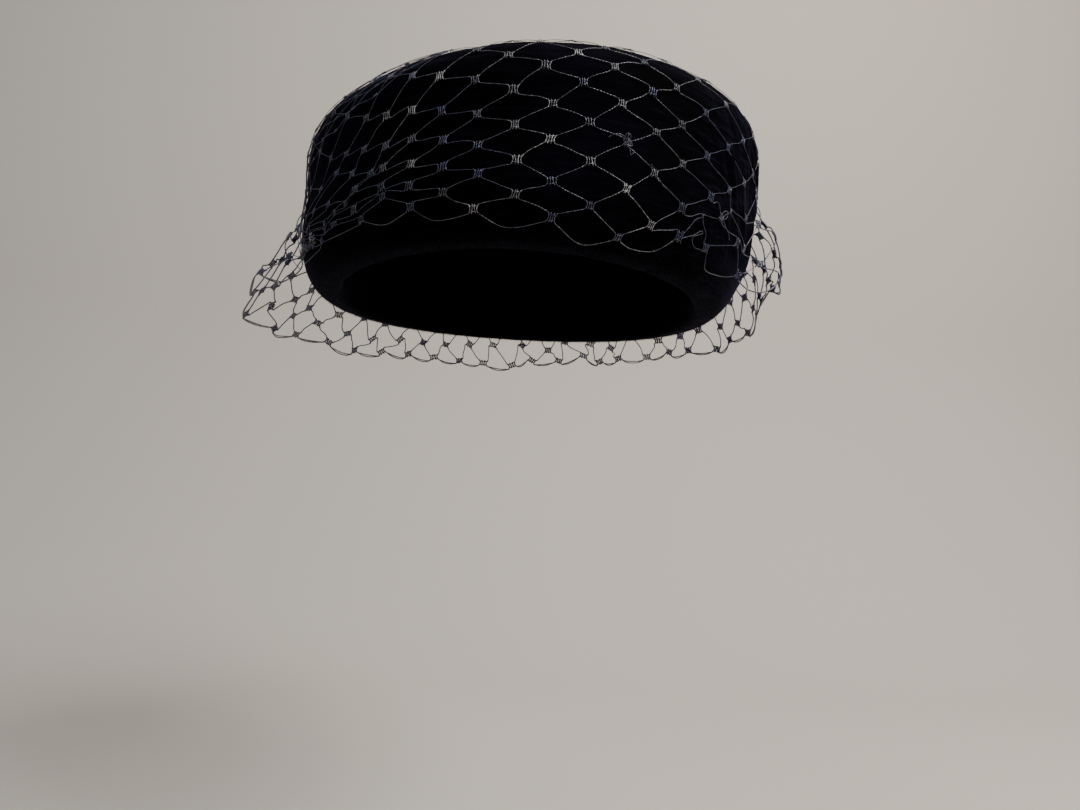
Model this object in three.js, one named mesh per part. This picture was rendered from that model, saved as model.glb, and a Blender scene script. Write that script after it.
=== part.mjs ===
// A velvet pillbox hat with a net veil.
// Millimetres, +Z up towards the tip of the crown, the front of the hat faces -Y.
// The origin is the centre of the head opening, in the plane of the lower edge.
import * as THREE from 'three';

// ---- driving dimensions -------------------------------------------------------------------

const CROWN_SHIFT = 4.1;       // the puffed body sits this far to the wearer's left of the opening
const CROWN_LEAN = 0.071;      // rise of the shoulder per millimetre towards the same side
const EDGE_ARCH = 1.8;         // the lower edge is this much higher front and back than at the sides
const WALL = 2.5;              // velvet over its stiff foundation
const FACING_HEIGHT = 15;      // velvet turned in and up inside the mouth
const FACING_WALL = 2;
const FACING_LIP = 1.2;        // rise from the lower edge to the rounded turn of the facing
const NET_GAP = 0.6;           // space between the velvet and the net's solid
const NET_WALL = 1.2;          // the net with its knots
const LOWEST_LYING = 4;        // the net's edge never lies on the crown below this height
const BEND_REACH = 4;          // a free stretch of net bulges this far before it falls away
const BEND_DROP = 0.3;         // and does so at this share of its fall
const CREST = 38.6;            // height of the widest line of the side wall
const SHOULDER = 74.5;         // height at which the side wall has turned over into the tip

// The outside of the crown, from the centre of the tip to the mouth: how far each ring reaches
// sideways, and front and back, and its height.
const CROWN_STATIONS = [
  { name: 'tip centre', side: 0, front: 0, height: 84 },
  { name: 'tip', side: 30, front: 35.8, height: 83 },
  { name: 'tip edge', side: 60, front: 71, height: 79.5 },
  { name: 'shoulder top', side: 80, front: 94, height: 74.6 },
  { name: 'shoulder', side: 93, front: 106, height: 68.6 },
  { name: 'shoulder foot', side: 98.8, front: 111.6, height: 60 },
  { name: 'crest', side: 98.8, front: 110.8, height: 38.6 },
  { name: 'lower wall', side: 97.9, front: 110.3, height: 19 },
  { name: 'roll', side: 93.6, front: 106.4, height: 7 },
  { name: 'underside', side: 87.9, front: 100.9, height: 1.4 },
  { name: 'mouth', side: 80.5, front: 93.5, height: 0 },
];

// The lower edge of the net, round the hat. Azimuth 0 is the front and 90 the +X side. Where the
// net is free it leaves the crest and stands out to this reach beyond it; where it isn't, it lies
// on the crown down to this height.
const NET_HEM = [
  { azimuth: -180, free: 1, reach: 13, height: -8 },
  { azimuth: -150, free: 1, reach: 16, height: -11 },
  { azimuth: -125, free: 1, reach: 21, height: -13 },
  { azimuth: -108, free: 1, reach: 29, height: -9.5 },
  { azimuth: -95, free: 1, reach: 33, height: -6 },
  { azimuth: -82, free: 1, reach: 21, height: 2 },
  { azimuth: -70, free: 0, reach: 3, height: 12 },
  { azimuth: -57, free: 0, reach: 3, height: 11 },
  { azimuth: -25, free: 0, reach: 3, height: 9 },
  { azimuth: 0, free: 0, reach: 3, height: 7 },
  { azimuth: 15, free: 0, reach: 3, height: 4.5 },
  { azimuth: 45, free: 0, reach: 3, height: 5 },
  { azimuth: 62, free: 0, reach: 3, height: 7 },
  { azimuth: 76, free: 1, reach: 12, height: 9 },
  { azimuth: 92, free: 1, reach: 18, height: 11 },
  { azimuth: 110, free: 1, reach: 20, height: 4 },
  { azimuth: 130, free: 1, reach: 17, height: -1 },
  { azimuth: 155, free: 1, reach: 14, height: -5 },
];

// How finely the shells are cut, and how closely their outlines are searched.
const AROUND = 60;
const TIP_RINGS = 11;          // from the centre of the tip to the crest
const LOWER_RINGS = 6;         // from the crest to the mouth, or to the net's lower edge
const SEARCH_STEPS = 2000;
const HALVINGS = 30;
const SIDE_STEP = 0.01;        // how far apart the points are that give a surface its normal

// ---- the crown's outside ------------------------------------------------------------------

const crownProfile = new THREE.CatmullRomCurve3(
  CROWN_STATIONS.map((s) => new THREE.Vector3(s.side, s.front, s.height)), false, 'centripetal');
const crestShare = shareAtCrest();

// The share of the profile's length that lies above the crest.
function shareAtCrest() {
  let share = 0;
  while (crownProfile.getPointAt(share).z > CREST) share += 1 / SEARCH_STEPS;
  return share;
}

// A point of the crown: share 0 is the centre of the tip and share 1 the mouth.
function crownPoint(azimuth, share) {
  const station = crownProfile.getPointAt(Math.min(Math.max(share, 0), 1));
  const low = Math.min(station.z / CREST, 1);
  const x = station.x * Math.sin(azimuth) + CROWN_SHIFT * low;
  const y = -station.y * Math.cos(azimuth);
  const arch = EDGE_ARCH * (1 - low) * Math.cos(2 * azimuth);
  const lean = CROWN_LEAN * x * station.z / SHOULDER;
  return new THREE.Vector3(x, y, station.z + arch + lean);
}

// ---- the net's surface --------------------------------------------------------------------

// A smooth reading of one column of the hem table, which closes on itself round the hat.
function hemAt(azimuth, column) {
  const degrees = THREE.MathUtils.euclideanModulo(THREE.MathUtils.radToDeg(azimuth) + 180, 360) - 180;
  const count = NET_HEM.length;
  let row = count - 1;
  while (row > 0 && NET_HEM[row].azimuth > degrees) row -= 1;
  const from = NET_HEM[row];
  const to = NET_HEM[(row + 1) % count];
  const span = THREE.MathUtils.euclideanModulo(to.azimuth - from.azimuth, 360);
  const along = THREE.MathUtils.smoothstep((degrees - from.azimuth) / span, 0, 1);
  return THREE.MathUtils.lerp(from[column], to[column], along);
}

// The share of the crown's profile at which it has come down to a height.
function shareAtHeight(azimuth, height) {
  let above = crestShare;
  let below = 1;
  for (let i = 0; i < HALVINGS; i += 1) {
    const middle = (above + below) / 2;
    if (crownPoint(azimuth, middle).z > height) above = middle;
    else below = middle;
  }
  return above;
}

// A point of the net: drop 0 is the centre of the tip, 1 the crest and 2 the lower edge.
function netPoint(azimuth, drop) {
  if (drop <= 1) return crownPoint(azimuth, drop * crestShare);
  const down = drop - 1;
  const hemHeight = hemAt(azimuth, 'height');
  const lying = crownPoint(azimuth, THREE.MathUtils.lerp(
    crestShare, shareAtHeight(azimuth, Math.max(hemHeight, LOWEST_LYING)), down));
  const crest = crownPoint(azimuth, crestShare);
  const outward = new THREE.Vector3(Math.sin(azimuth), -Math.cos(azimuth), 0);
  const edge = crest.clone().addScaledVector(outward, hemAt(azimuth, 'reach')).setZ(hemHeight);
  const bend = crest.clone().addScaledVector(outward, BEND_REACH);
  bend.z = THREE.MathUtils.lerp(crest.z, hemHeight, BEND_DROP);
  const hanging = new THREE.QuadraticBezierCurve3(crest, bend, edge).getPoint(down);
  return lying.lerp(hanging, hemAt(azimuth, 'free'));
}

// ---- shells ---------------------------------------------------------------------------------

// The unit normal of a surface, worked out from points a little to each side.
function normalOf(surface, azimuth, at, atLimit) {
  const ahead = Math.min(at + SIDE_STEP, atLimit);
  const behind = Math.max(at - SIDE_STEP, SIDE_STEP / 10);
  const round = surface(azimuth + SIDE_STEP, at).sub(surface(azimuth - SIDE_STEP, at));
  const down = surface(azimuth, ahead).sub(surface(azimuth, behind));
  return down.cross(round).normalize();
}

// A ring of points on a surface, moved out along the normals.
function ringOf(surface, at, atLimit, out) {
  return Array.from({ length: AROUND }, (_, i) => {
    const azimuth = 2 * Math.PI * i / AROUND;
    return surface(azimuth, at).addScaledVector(normalOf(surface, azimuth, at, atLimit), out);
  });
}

// A closed skin from one pole through a list of rings to the other pole, each ring of AROUND points.
function closedSkin(firstPole, rings, lastPole) {
  const points = [firstPole, ...rings.flat(), lastPole];
  const last = points.length - 1;
  const index = [];
  for (let i = 0; i < AROUND; i += 1) {
    const j = (i + 1) % AROUND;
    index.push(0, 1 + i, 1 + j);
    for (let ring = 0; ring < rings.length - 1; ring += 1) {
      const upper = 1 + ring * AROUND;
      const lower = upper + AROUND;
      index.push(upper + i, lower + i, lower + j);
      index.push(upper + i, lower + j, upper + j);
    }
    const lowest = 1 + (rings.length - 1) * AROUND;
    index.push(lowest + i, last, lowest + j);
  }
  const geometry = new THREE.BufferGeometry().setFromPoints(points);
  geometry.setIndex(index);
  geometry.computeVertexNormals();
  return geometry;
}

// Evenly spaced values, without the first.
function stepsTo(from, to, count) {
  return Array.from({ length: count }, (_, i) => from + (to - from) * (i + 1) / count);
}

// ---- the pieces -----------------------------------------------------------------------------

function makeCrown() {
  const shares = [...stepsTo(0, crestShare, TIP_RINGS), ...stepsTo(crestShare, 1, LOWER_RINGS)];
  const outside = shares.map((share) => ringOf(crownPoint, share, 1, 0));
  const mouth = outside.at(-1);
  const inward = (point, amount, rise) => {
    const toAxis = new THREE.Vector3(-point.x, -point.y, 0).setLength(amount);
    return point.clone().add(toAxis).setZ(point.z + rise);
  };
  const facing = [
    mouth.map((p) => inward(p, FACING_WALL, FACING_LIP)),
    mouth.map((p) => inward(p, FACING_WALL, FACING_HEIGHT)),
    mouth.map((p) => inward(p, 0, FACING_HEIGHT)),
    mouth.map((p) => inward(p, 0, WALL + FACING_LIP)),
  ];
  // The mouth and the ring above it are left out: the facing fills the fold there.
  const inside = shares.slice(0, -2).reverse().map((share) => ringOf(crownPoint, share, 1, -WALL));
  const tip = crownPoint(0, 0);
  const innerTip = tip.clone().setZ(tip.z - WALL);
  return closedSkin(tip, [...outside, ...facing, ...inside], innerTip);
}

function makeVeil() {
  const drops = [...stepsTo(0, 1, TIP_RINGS), ...stepsTo(1, 2, LOWER_RINGS)];
  const outside = drops.map((drop) => ringOf(netPoint, drop, 2, NET_GAP + NET_WALL));
  const inside = [...drops].reverse().map((drop) => ringOf(netPoint, drop, 2, NET_GAP));
  const tip = crownPoint(0, 0);
  const top = tip.clone().setZ(tip.z + NET_GAP + NET_WALL);
  const under = tip.clone().setZ(tip.z + NET_GAP);
  return closedSkin(top, [...outside, ...inside], under);
}

const velvet = new THREE.MeshStandardMaterial({ color: 0x0b0b1c, roughness: 0.95, metalness: 0 });
const netting = new THREE.MeshStandardMaterial({ color: 0x23243f, roughness: 0.6, metalness: 0 });

const crown = new THREE.Mesh(makeCrown(), velvet);
crown.name = 'crown';
const veil = new THREE.Mesh(makeVeil(), netting);
veil.name = 'veil';

const group = new THREE.Group();
group.add(crown, veil);

export default group;
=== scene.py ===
# %% [markdown]
# # A velvet hat with a net veil
#
# This lesson dresses a small pillbox hat. A measured model of the hat comes first and stays as it is: it
# says how big everything is and where it sits. Around it we make what the eye sees: a puffed velvet crown
# and an open net of thread that lies over it and falls loose behind.

# %% Load the measured hat
import math

import bpy
import numpy as np
from mathutils import Matrix, Vector, noise


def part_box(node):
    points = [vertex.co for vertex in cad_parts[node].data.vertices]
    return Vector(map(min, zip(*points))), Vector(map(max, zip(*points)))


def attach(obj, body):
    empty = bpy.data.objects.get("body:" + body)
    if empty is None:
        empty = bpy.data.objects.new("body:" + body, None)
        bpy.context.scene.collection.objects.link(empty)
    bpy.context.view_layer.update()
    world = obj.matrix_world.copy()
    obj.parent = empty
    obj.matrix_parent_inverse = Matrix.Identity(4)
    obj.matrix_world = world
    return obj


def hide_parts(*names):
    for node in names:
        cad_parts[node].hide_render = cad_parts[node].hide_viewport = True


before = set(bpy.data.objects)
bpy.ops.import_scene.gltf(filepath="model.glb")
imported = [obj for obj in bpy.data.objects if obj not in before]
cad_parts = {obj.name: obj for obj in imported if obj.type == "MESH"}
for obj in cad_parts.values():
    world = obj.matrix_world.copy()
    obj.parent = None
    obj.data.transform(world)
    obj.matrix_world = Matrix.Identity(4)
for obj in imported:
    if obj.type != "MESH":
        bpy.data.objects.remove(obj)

MM = 0.001
UPRIGHT = np.array([0, 0, 1.0])
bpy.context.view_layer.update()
crown_low, crown_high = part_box("crown")
print("the crown measures", [round(x * 1000) for x in crown_high - crown_low], "mm")

# %% [markdown]
# ## The camera
#
# A hat is mostly seen from the front and a little below, by someone who stands close. So the camera
# stands a forearm's length in front of the brow, lower than the rim, and looks slightly up. A short lens
# that close makes the near rim swell, which is how a hat looks on someone you talk to.

# %% Camera
EYE = Vector((0, -366 * MM, -75.6 * MM))
LOOKING_UP = math.radians(5.04)
LOOKING_ASIDE = math.radians(1.89)
HEAD_TILT = math.radians(2.97)

camera_data = bpy.data.cameras.new("camera")
camera_data.lens = 27
camera_data.sensor_width = 36
camera = bpy.data.objects.new("camera", camera_data)
turn = Matrix.Rotation(-LOOKING_ASIDE, 4, "Z") @ Matrix.Rotation(math.pi / 2 + LOOKING_UP, 4, "X")
camera.matrix_world = Matrix.Translation(EYE) @ turn @ Matrix.Rotation(HEAD_TILT, 4, "Z")
bpy.context.scene.collection.objects.link(camera)
bpy.context.scene.camera = camera
print("the camera is", round((EYE - (crown_low + crown_high) / 2).length * 100), "cm from the hat")

# %% [markdown]
# ## A pale room
#
# Velvet is one of the darkest cloths there is, so it needs a pale place to stand out against. One sheet
# of paper is enough: a floor that bends up into a wall, as it is hung in a studio. It is only scenery,
# not part of the hat.

# %% Paper sweep
FLOOR_HEIGHT = -0.27
WALL_DISTANCE = 0.85
SWEEP_RADIUS = 0.45
WALL_HEIGHT = 4.0
ROOM_HALF_WIDTH = 3.0           # also how far the floor reaches in front of the hat
BEND_STEPS = 24


def sweep_outline():
    """The paper's edge line: along the floor, round the bend and up the wall."""
    line = [(-ROOM_HALF_WIDTH, FLOOR_HEIGHT)]
    for step in range(BEND_STEPS + 1):
        angle = math.pi / 2 * step / BEND_STEPS
        line.append((WALL_DISTANCE - SWEEP_RADIUS + SWEEP_RADIUS * math.sin(angle),
                     FLOOR_HEIGHT + SWEEP_RADIUS * (1 - math.cos(angle))))
    line.append((WALL_DISTANCE, FLOOR_HEIGHT + WALL_HEIGHT))
    return line


def make_mesh(name, points, faces):
    """A named object from points and faces, with smooth shading."""
    mesh = bpy.data.meshes.new(name)
    mesh.from_pydata([tuple(p) for p in points], [], [tuple(f) for f in faces])
    mesh.update()
    mesh.shade_smooth()
    made = bpy.data.objects.new(name, mesh)
    bpy.context.scene.collection.objects.link(made)
    return made


outline = sweep_outline()
paper_points = [(x, y, z) for y, z in outline for x in (-ROOM_HALF_WIDTH, ROOM_HALF_WIDTH)]
paper_faces = [(2 * i, 2 * i + 1, 2 * i + 3, 2 * i + 2) for i in range(len(outline) - 1)]
paper = make_mesh("paper_sweep", paper_points, paper_faces)
paper_material = bpy.data.materials.new("pale_paper")
paper_material.use_nodes = True
paper_shader = paper_material.node_tree.nodes["Principled BSDF"]
paper_shader.inputs["Base Color"].default_value = (0.56, 0.515, 0.455, 1)
paper_shader.inputs["Roughness"].default_value = 0.9
paper.data.materials.append(paper_material)
print("the floor lies", round((crown_low.z - FLOOR_HEIGHT) * 100), "cm below the hat")

# %% [markdown]
# ## Light from one side
#
# A hat shows its cloth best beside a window: the light skims over the crown and every fold throws a little
# shade. A sun lamp would do that with hard edges. A square panel is as soft as a real window, so one panel
# is the window, a weak blue one the sky at the other side, and one lights only the wall behind the hat.

# %% Lights
LIGHT_AIM = (0, 0, 0.03)
LIGHTS = [  # name, place, the point it faces, side of the panel, power, colour
    ("window", (0.75, -0.6, 0.8), LIGHT_AIM, 0.55, 22, (1.0, 0.98, 0.95)),
    ("sky", (-0.9, -0.3, 0.9), LIGHT_AIM, 1.0, 5.5, (0.8, 0.89, 1.0)),
    ("wall_wash", (0.5, 0.1, 1.2), (0.3, 0.8, -0.1), 1.0, 7, (1.0, 0.93, 0.82)),
]


def soft_light(name, place, aim, size, power, colour):
    """A square light panel that faces a point."""
    data = bpy.data.lights.new(name, "AREA")
    data.size = size
    data.energy = power
    data.color = colour
    light = bpy.data.objects.new(name, data)
    light.location = place
    light.rotation_euler = (Vector(aim) - Vector(place)).to_track_quat("-Z", "Y").to_euler()
    bpy.context.scene.collection.objects.link(light)


for row in LIGHTS:
    soft_light(*row)
world = bpy.data.worlds.new("room_light")
world.use_nodes = True
world.node_tree.nodes["Background"].inputs["Color"].default_value = (0.75, 0.78, 0.85, 1)
world.node_tree.nodes["Background"].inputs["Strength"].default_value = 0.26
bpy.context.scene.world = world
print(len(LIGHTS), "panels with", sum(power for *_, power, colour in LIGHTS), "watts in all")

# %% [markdown]
# ## The shape of the crown
#
# The real crown is velvet steamed over a stiff form. Its side wall bulges like a barrel, turns over a
# round shoulder into a low dome, and curls under at the bottom to the head opening. One profile line,
# carried round an oval, gives all of that. The profile is a short table of stations, each a share of the
# measured crown, and a smooth line through them.

# %% Profile of the crown
half_width = (crown_high.x - crown_low.x) / 2
half_depth = (crown_high.y - crown_low.y) / 2
side_shift = (crown_high.x + crown_low.x) / 2    # the puffed wall sits a little to one side
tip_height = 0.98 * crown_high.z                 # the lean lifts the highest point a little above it
crest_height = 0.46 * tip_height                 # where the wall is widest
shoulder_height = 0.887 * tip_height             # where the wall has turned over into the tip
LEAN = 0.071                                     # the crown is taller on that side
EDGE_ARCH = 1.8 * MM                             # the rim rises slightly front and back

CROWN_STATIONS = [  # name, sideways, front and back, height
    ("tip centre", 0, 0, 1),
    ("tip", 0.301, 0.319, 0.988),
    ("tip edge", 0.601, 0.633, 0.946),
    ("shoulder top", 0.802, 0.839, 0.888),
    ("shoulder", 0.932, 0.946, 0.817),
    ("shoulder foot", 0.990, 0.996, 0.714),
    ("crest", 0.990, 0.988, 0.460),
    ("lower wall", 0.981, 0.984, 0.226),
    ("roll", 0.938, 0.949, 0.083),
    ("underside", 0.881, 0.900, 0.017),
    ("mouth", 0.807, 0.834, 0),
]
STATION_STEPS = 30              # points of the smooth line from one station to the next


def smooth_line(points, steps):
    """A centripetal Catmull-Rom line through the points."""
    ends = [2 * points[0] - points[1], *points, 2 * points[-1] - points[-2]]
    line = []
    for a, b, c, d in zip(ends, ends[1:], ends[2:], ends[3:]):
        t1 = np.linalg.norm(b - a) ** 0.5
        t2 = t1 + np.linalg.norm(c - b) ** 0.5
        t3 = t2 + np.linalg.norm(d - c) ** 0.5
        t = np.linspace(t1, t2, steps, endpoint=False)[:, None]
        ab = (t1 - t) / t1 * a + t / t1 * b
        bc = (t2 - t) / (t2 - t1) * b + (t - t1) / (t2 - t1) * c
        cd = (t3 - t) / (t3 - t2) * c + (t - t2) / (t3 - t2) * d
        abc = (t2 - t) / t2 * ab + t / t2 * bc
        bcd = (t3 - t) / (t3 - t1) * bc + (t - t1) / (t3 - t1) * cd
        line.extend((t2 - t) / (t2 - t1) * abc + (t - t1) / (t2 - t1) * bcd)
    line.append(points[-1])
    return np.array(line)


def running_length(points):
    """The length from the first point to each point of a line."""
    steps = np.linalg.norm(np.diff(points, axis=0), axis=1)
    return np.concatenate([[0], np.cumsum(steps)])


stations = [np.array(row[1:]) * (half_width, half_depth, tip_height) for row in CROWN_STATIONS]
profile = smooth_line(stations, STATION_STEPS)
profile_share = running_length(profile) / running_length(profile)[-1]
falling = np.arange(len(profile)) > 3 * STATION_STEPS    # past the tip the height only falls
crest_share = np.interp(-crest_height, -profile[falling, 2], profile_share[falling])
print("the crest lies", round(100 * crest_share), "% of the way from the tip to the mouth")


def crown_point(azimuth, share):
    """The crown's outside. Azimuth 0 is the front, share 0 the tip's centre and 1 the mouth."""
    side, front, height = (np.interp(share, profile_share, profile[:, k]) for k in range(3))
    low = np.minimum(height / crest_height, 1)
    x = side * np.sin(azimuth) + side_shift * low
    y = -front * np.cos(azimuth)
    arch = EDGE_ARCH * (1 - low) * np.cos(2 * azimuth)
    lean = LEAN * x * height / shoulder_height
    return np.stack([x, y, height + arch + lean], axis=-1)


def unit(vectors):
    """The same directions with length one."""
    return vectors / np.maximum(np.linalg.norm(vectors, axis=-1, keepdims=True), 1e-12)


def outward(surface, azimuth, along, last):
    """Unit normals of a surface that is a function of azimuth and a second value from 0 to last."""
    step = 0.004
    ahead, behind = np.minimum(along + step, last), np.maximum(along - step, step / 10)
    round_it = surface(azimuth + step, along) - surface(azimuth - step, along)
    down_it = surface(azimuth, ahead) - surface(azimuth, behind)
    return unit(np.cross(down_it, round_it))


# %% [markdown]
# ## Where the net hangs
#
# The net lies on the tip and on the front of the wall. Beyond the two places where it is caught it lets
# go of the wall at the crest and stands out as a stiff flounce: a cone at the left, where the gathers
# push it out, and a round swelling at the right. The lower edge is a short table again: how free it is,
# how far it stands out, how high it is, and how far the net swells on its way down.

# %% Surface of the net
NET_EDGE = [  # azimuth in degrees, free of the wall, reach beyond the crest, height, swelling on the way
    (-180, 1, 13 * MM, -9 * MM, 6 * MM),
    (-150, 1, 16 * MM, -12 * MM, 5 * MM),
    (-125, 1, 22 * MM, -14.5 * MM, 4 * MM),
    (-108, 1, 30 * MM, -12.5 * MM, 4 * MM),
    (-96, 1, 34 * MM, -8 * MM, 4 * MM),
    (-83, 1, 21 * MM, 1 * MM, 4 * MM),
    (-71, 0, 3 * MM, 12 * MM, 4 * MM),
    (-57, 0, 3 * MM, 11 * MM, 4 * MM),
    (-25, 0, 3 * MM, 9 * MM, 4 * MM),
    (0, 0, 3 * MM, 7 * MM, 4 * MM),
    (15, 0, 3 * MM, 4.5 * MM, 4 * MM),
    (45, 0, 3 * MM, 5 * MM, 4 * MM),
    (62, 0, 3 * MM, 7 * MM, 6 * MM),
    (74, 1, 10 * MM, 11 * MM, 12 * MM),
    (86, 1, 8.5 * MM, 9.5 * MM, 14.5 * MM),
    (94, 1, 13.5 * MM, 4 * MM, 14.5 * MM),
    (105, 1, 17.5 * MM, -1.5 * MM, 14.5 * MM),
    (118, 1, 17.5 * MM, -3.5 * MM, 14 * MM),
    (135, 1, 15 * MM, -5.5 * MM, 11 * MM),
    (155, 1, 13 * MM, -7 * MM, 8 * MM),
    (180, 1, 13 * MM, -9 * MM, 6 * MM),
]
SWELL_DROP = 0.25               # a free stretch of net swells out at this share of its fall
LOWEST_LYING = 4 * MM           # the net never lies on the crown below this height
HALVINGS = 24
edge_heights = [round(row[3] / MM, 1) for row in NET_EDGE]
print("the net's lower edge is between", min(edge_heights), "and", max(edge_heights), "mm high")


def eased(t):
    """A soft step: 0 up to 0, 1 from 1 on, and a gentle rise between."""
    t = np.clip(t, 0, 1)
    return t * t * (3 - 2 * t)


def edge_at(azimuth, column):
    """A smooth reading of one column of the table of the net's edge."""
    table = np.array(NET_EDGE)
    degrees = (np.degrees(azimuth) + 180) % 360 - 180
    row = np.clip(np.searchsorted(table[:, 0], degrees, side="right") - 1, 0, len(table) - 2)
    along = eased((degrees - table[row, 0]) / (table[row + 1, 0] - table[row, 0]))
    return table[row, column] * (1 - along) + table[row + 1, column] * along


def share_at_height(azimuth, height):
    """The share of the crown's profile at which the wall has come down to a height."""
    above, below = np.full_like(azimuth, crest_share), np.ones_like(azimuth)
    for _ in range(HALVINGS):
        middle = (above + below) / 2
        higher = crown_point(azimuth, middle)[..., 2] > height
        above, below = np.where(higher, middle, above), np.where(higher, below, middle)
    return above


def net_surface(azimuth, drop):
    """The sheet that the net lies in: drop 0 is the tip's centre, 1 the crest and 2 the lower edge."""
    on_top = crown_point(azimuth, np.clip(drop, 0, 1) * crest_share)
    down = np.maximum(drop - 1, 0)
    height = edge_at(azimuth, 3)
    lowest = share_at_height(azimuth, np.maximum(height, LOWEST_LYING))
    lying = crown_point(azimuth, np.minimum(crest_share + (lowest - crest_share) * down, 1))
    crest = crown_point(azimuth, np.full_like(azimuth, crest_share))
    aside = np.stack([np.sin(azimuth), -np.cos(azimuth), np.zeros_like(azimuth)], axis=-1)
    fall = (height - crest[..., 2])[..., None] * UPRIGHT
    edge = crest + aside * edge_at(azimuth, 2)[..., None] + fall
    bend = crest + aside * edge_at(azimuth, 4)[..., None] + fall * SWELL_DROP
    t = down[..., None]
    hanging = (1 - t) ** 2 * crest + 2 * t * (1 - t) * bend + t * t * edge
    free = edge_at(azimuth, 1)[..., None]
    below = lying * (1 - free) + hanging * free
    return np.where(drop[..., None] <= 1, on_top, below)


# %% [markdown]
# ## Measuring along the net
#
# Knots are spaced by length of thread, not by angle. So we lay a grid over the net's sheet once, measure
# down each meridian in metres, and from then on ask for points by azimuth and length from the tip.

# %% A map of the net's sheet
MERIDIANS = 720
STEPS_DOWN = 300
LAST_DROP = 2.15                # the map goes a little past the lower edge
LEAST_RADIUS = 4 * MM
FREE_FROM, FREE_OVER = 0.8, 0.3 # where the net comes free and over what stretch, in shares of tip to crest
LENGTH_ON_TIP = 80 * MM         # up to here the net is surely still on the tip
SEARCH_STEPS = 400
grid_azimuth = np.linspace(-np.pi, np.pi, MERIDIANS + 1)
even_drops = np.linspace(0, LAST_DROP, STEPS_DOWN)
azimuths, drops = np.meshgrid(grid_azimuth, even_drops, indexing="ij")
rough_lengths = np.array([running_length(meridian) for meridian in net_surface(azimuths, drops)])
full_length = rough_lengths[:, -1]
crest_length = np.array([np.interp(1, even_drops, lengths) for lengths in rough_lengths])
edge_length = np.array([np.interp(2, even_drops, lengths) for lengths in rough_lengths])
even_shares = np.linspace(0, 1, STEPS_DOWN)
sheet_drop = np.array([np.interp(even_shares * lengths[-1], lengths, even_drops)
                       for lengths in rough_lengths])
sheet_points = net_surface(azimuths, sheet_drop)
sheet_normals = outward(net_surface, azimuths, sheet_drop, LAST_DROP)
print("tip to edge at the front", round(1000 * edge_length[MERIDIANS // 2]), "mm,",
      "at the back", round(1000 * edge_length[0]), "mm")


def read_round(values, azimuth):
    """A value at an azimuth, from a row of values that runs round the hat from the back to the back."""
    return np.interp((azimuth + np.pi) % (2 * np.pi) - np.pi, grid_azimuth, values)


def read_sheet(values, azimuth, length):
    """A value of the map at an azimuth and a length from the tip, between its grid points."""
    across = (azimuth + np.pi) / (2 * np.pi) % 1 * MERIDIANS
    down = np.clip(length / read_round(full_length, azimuth), 0, 1) * (STEPS_DOWN - 1)
    i, j = np.floor(across).astype(int), np.minimum(np.floor(down).astype(int), STEPS_DOWN - 2)
    s, t = (across - i)[..., None], (down - j)[..., None]
    upper = values[i, j] * (1 - s) + values[i + 1, j] * s
    lower = values[i, j + 1] * (1 - s) + values[i + 1, j + 1] * s
    return upper * (1 - t) + lower * t


def radius_at(azimuth, length):
    """Metres along the sheet for each radian round it."""
    step = 0.02
    ahead = read_sheet(sheet_points, azimuth + step, length)
    behind = read_sheet(sheet_points, azimuth - step, length)
    return np.maximum(np.linalg.norm(ahead - behind, axis=-1) / (2 * step), LEAST_RADIUS)


def hanging_at(azimuth, length):
    """How freely the net hangs: 0 where it lies on the crown, 1 where it is free below the crest."""
    fallen = length / read_round(crest_length, azimuth)
    return edge_at(azimuth, 1) * eased((fallen - FREE_FROM) / FREE_OVER)


def length_at_height(azimuth, height):
    """The length from the tip at which the sheet has come down to a height."""
    lengths = np.linspace(LENGTH_ON_TIP, read_round(edge_length, azimuth) + 4 * MM, SEARCH_STEPS)
    heights = read_sheet(sheet_points, np.full(SEARCH_STEPS, azimuth), lengths)[:, 2]
    return np.interp(-height, -heights, lengths)


# %% [markdown]
# ## The lattice of knots
#
# Hat net is knotted in long hexagons. Number its columns round the hat and its rows from the tip to the
# lower edge: a knot sits wherever column plus row is even, and it is tied to its four neighbours. One strip
# of net goes once round the wall. A table says, for a few columns, where they stand and how closely their
# rows lie: wide open at the front, closed like a fan on the way to the left, where the strip is sewn on.
# Towards the tip the net is unstretched, so its rows lie further apart there and its columns run together.

# %% Columns and rows
COLUMNS = 80
HALF_WAY = COLUMNS // 2         # the column at the back
TOP_ROW, BOTTOM_ROW = -10, 9
COLUMN_TABLE = [  # column, azimuth in row 5, lean for each row, length to row 5, pitch, growth of the pitch
    (-40, -180, 0.0, 151.7, 8.8, 0),
    (-18, -92, 0.0, 139.4, 8.8, 0),
    (-11, -68, 0.3, 154, 2.2, -0.3),
    (-9, -58, 0.5, 155, 2.0, -0.3),
    (-7, -50, 0.0, 153.8, 2.2, -0.29),
    (-5, -37.5, 0.0, 151.2, 3.1, -0.2),
    (-3, -24.8, 0.25, 148.5, 4.2, -0.16),
    (-1, -11.2, 0.4, 147, 5.3, -0.11),
    (1, 2.8, 0.6, 145.5, 6.3, 0.02),
    (3, 17.2, 0.75, 143.5, 6.9, 0.2),
    (5, 30.5, 0.65, 143.8, 6.8, 0.1),
    (7, 46, 0.7, 142.8, 7.2, 0),
    (9, 61, 0.6, 140.5, 7.2, 0),
    (12, 79, 0.3, 140, 7.6, 0),
    (20, 108, 0.1, 140.8, 8.8, 0),
    (40, 180, 0.0, 151.7, 8.8, 0),
]
TABLED_ROW = 5
FREE_PITCH = 8.8 * MM           # where the net hangs free
EDGE_MARGIN = 3 * MM            # from the middle of the lowest knots to the edge of the sheet
TIP_RING = 15 * MM              # the highest knots stand this far from the centre of the tip
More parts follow.
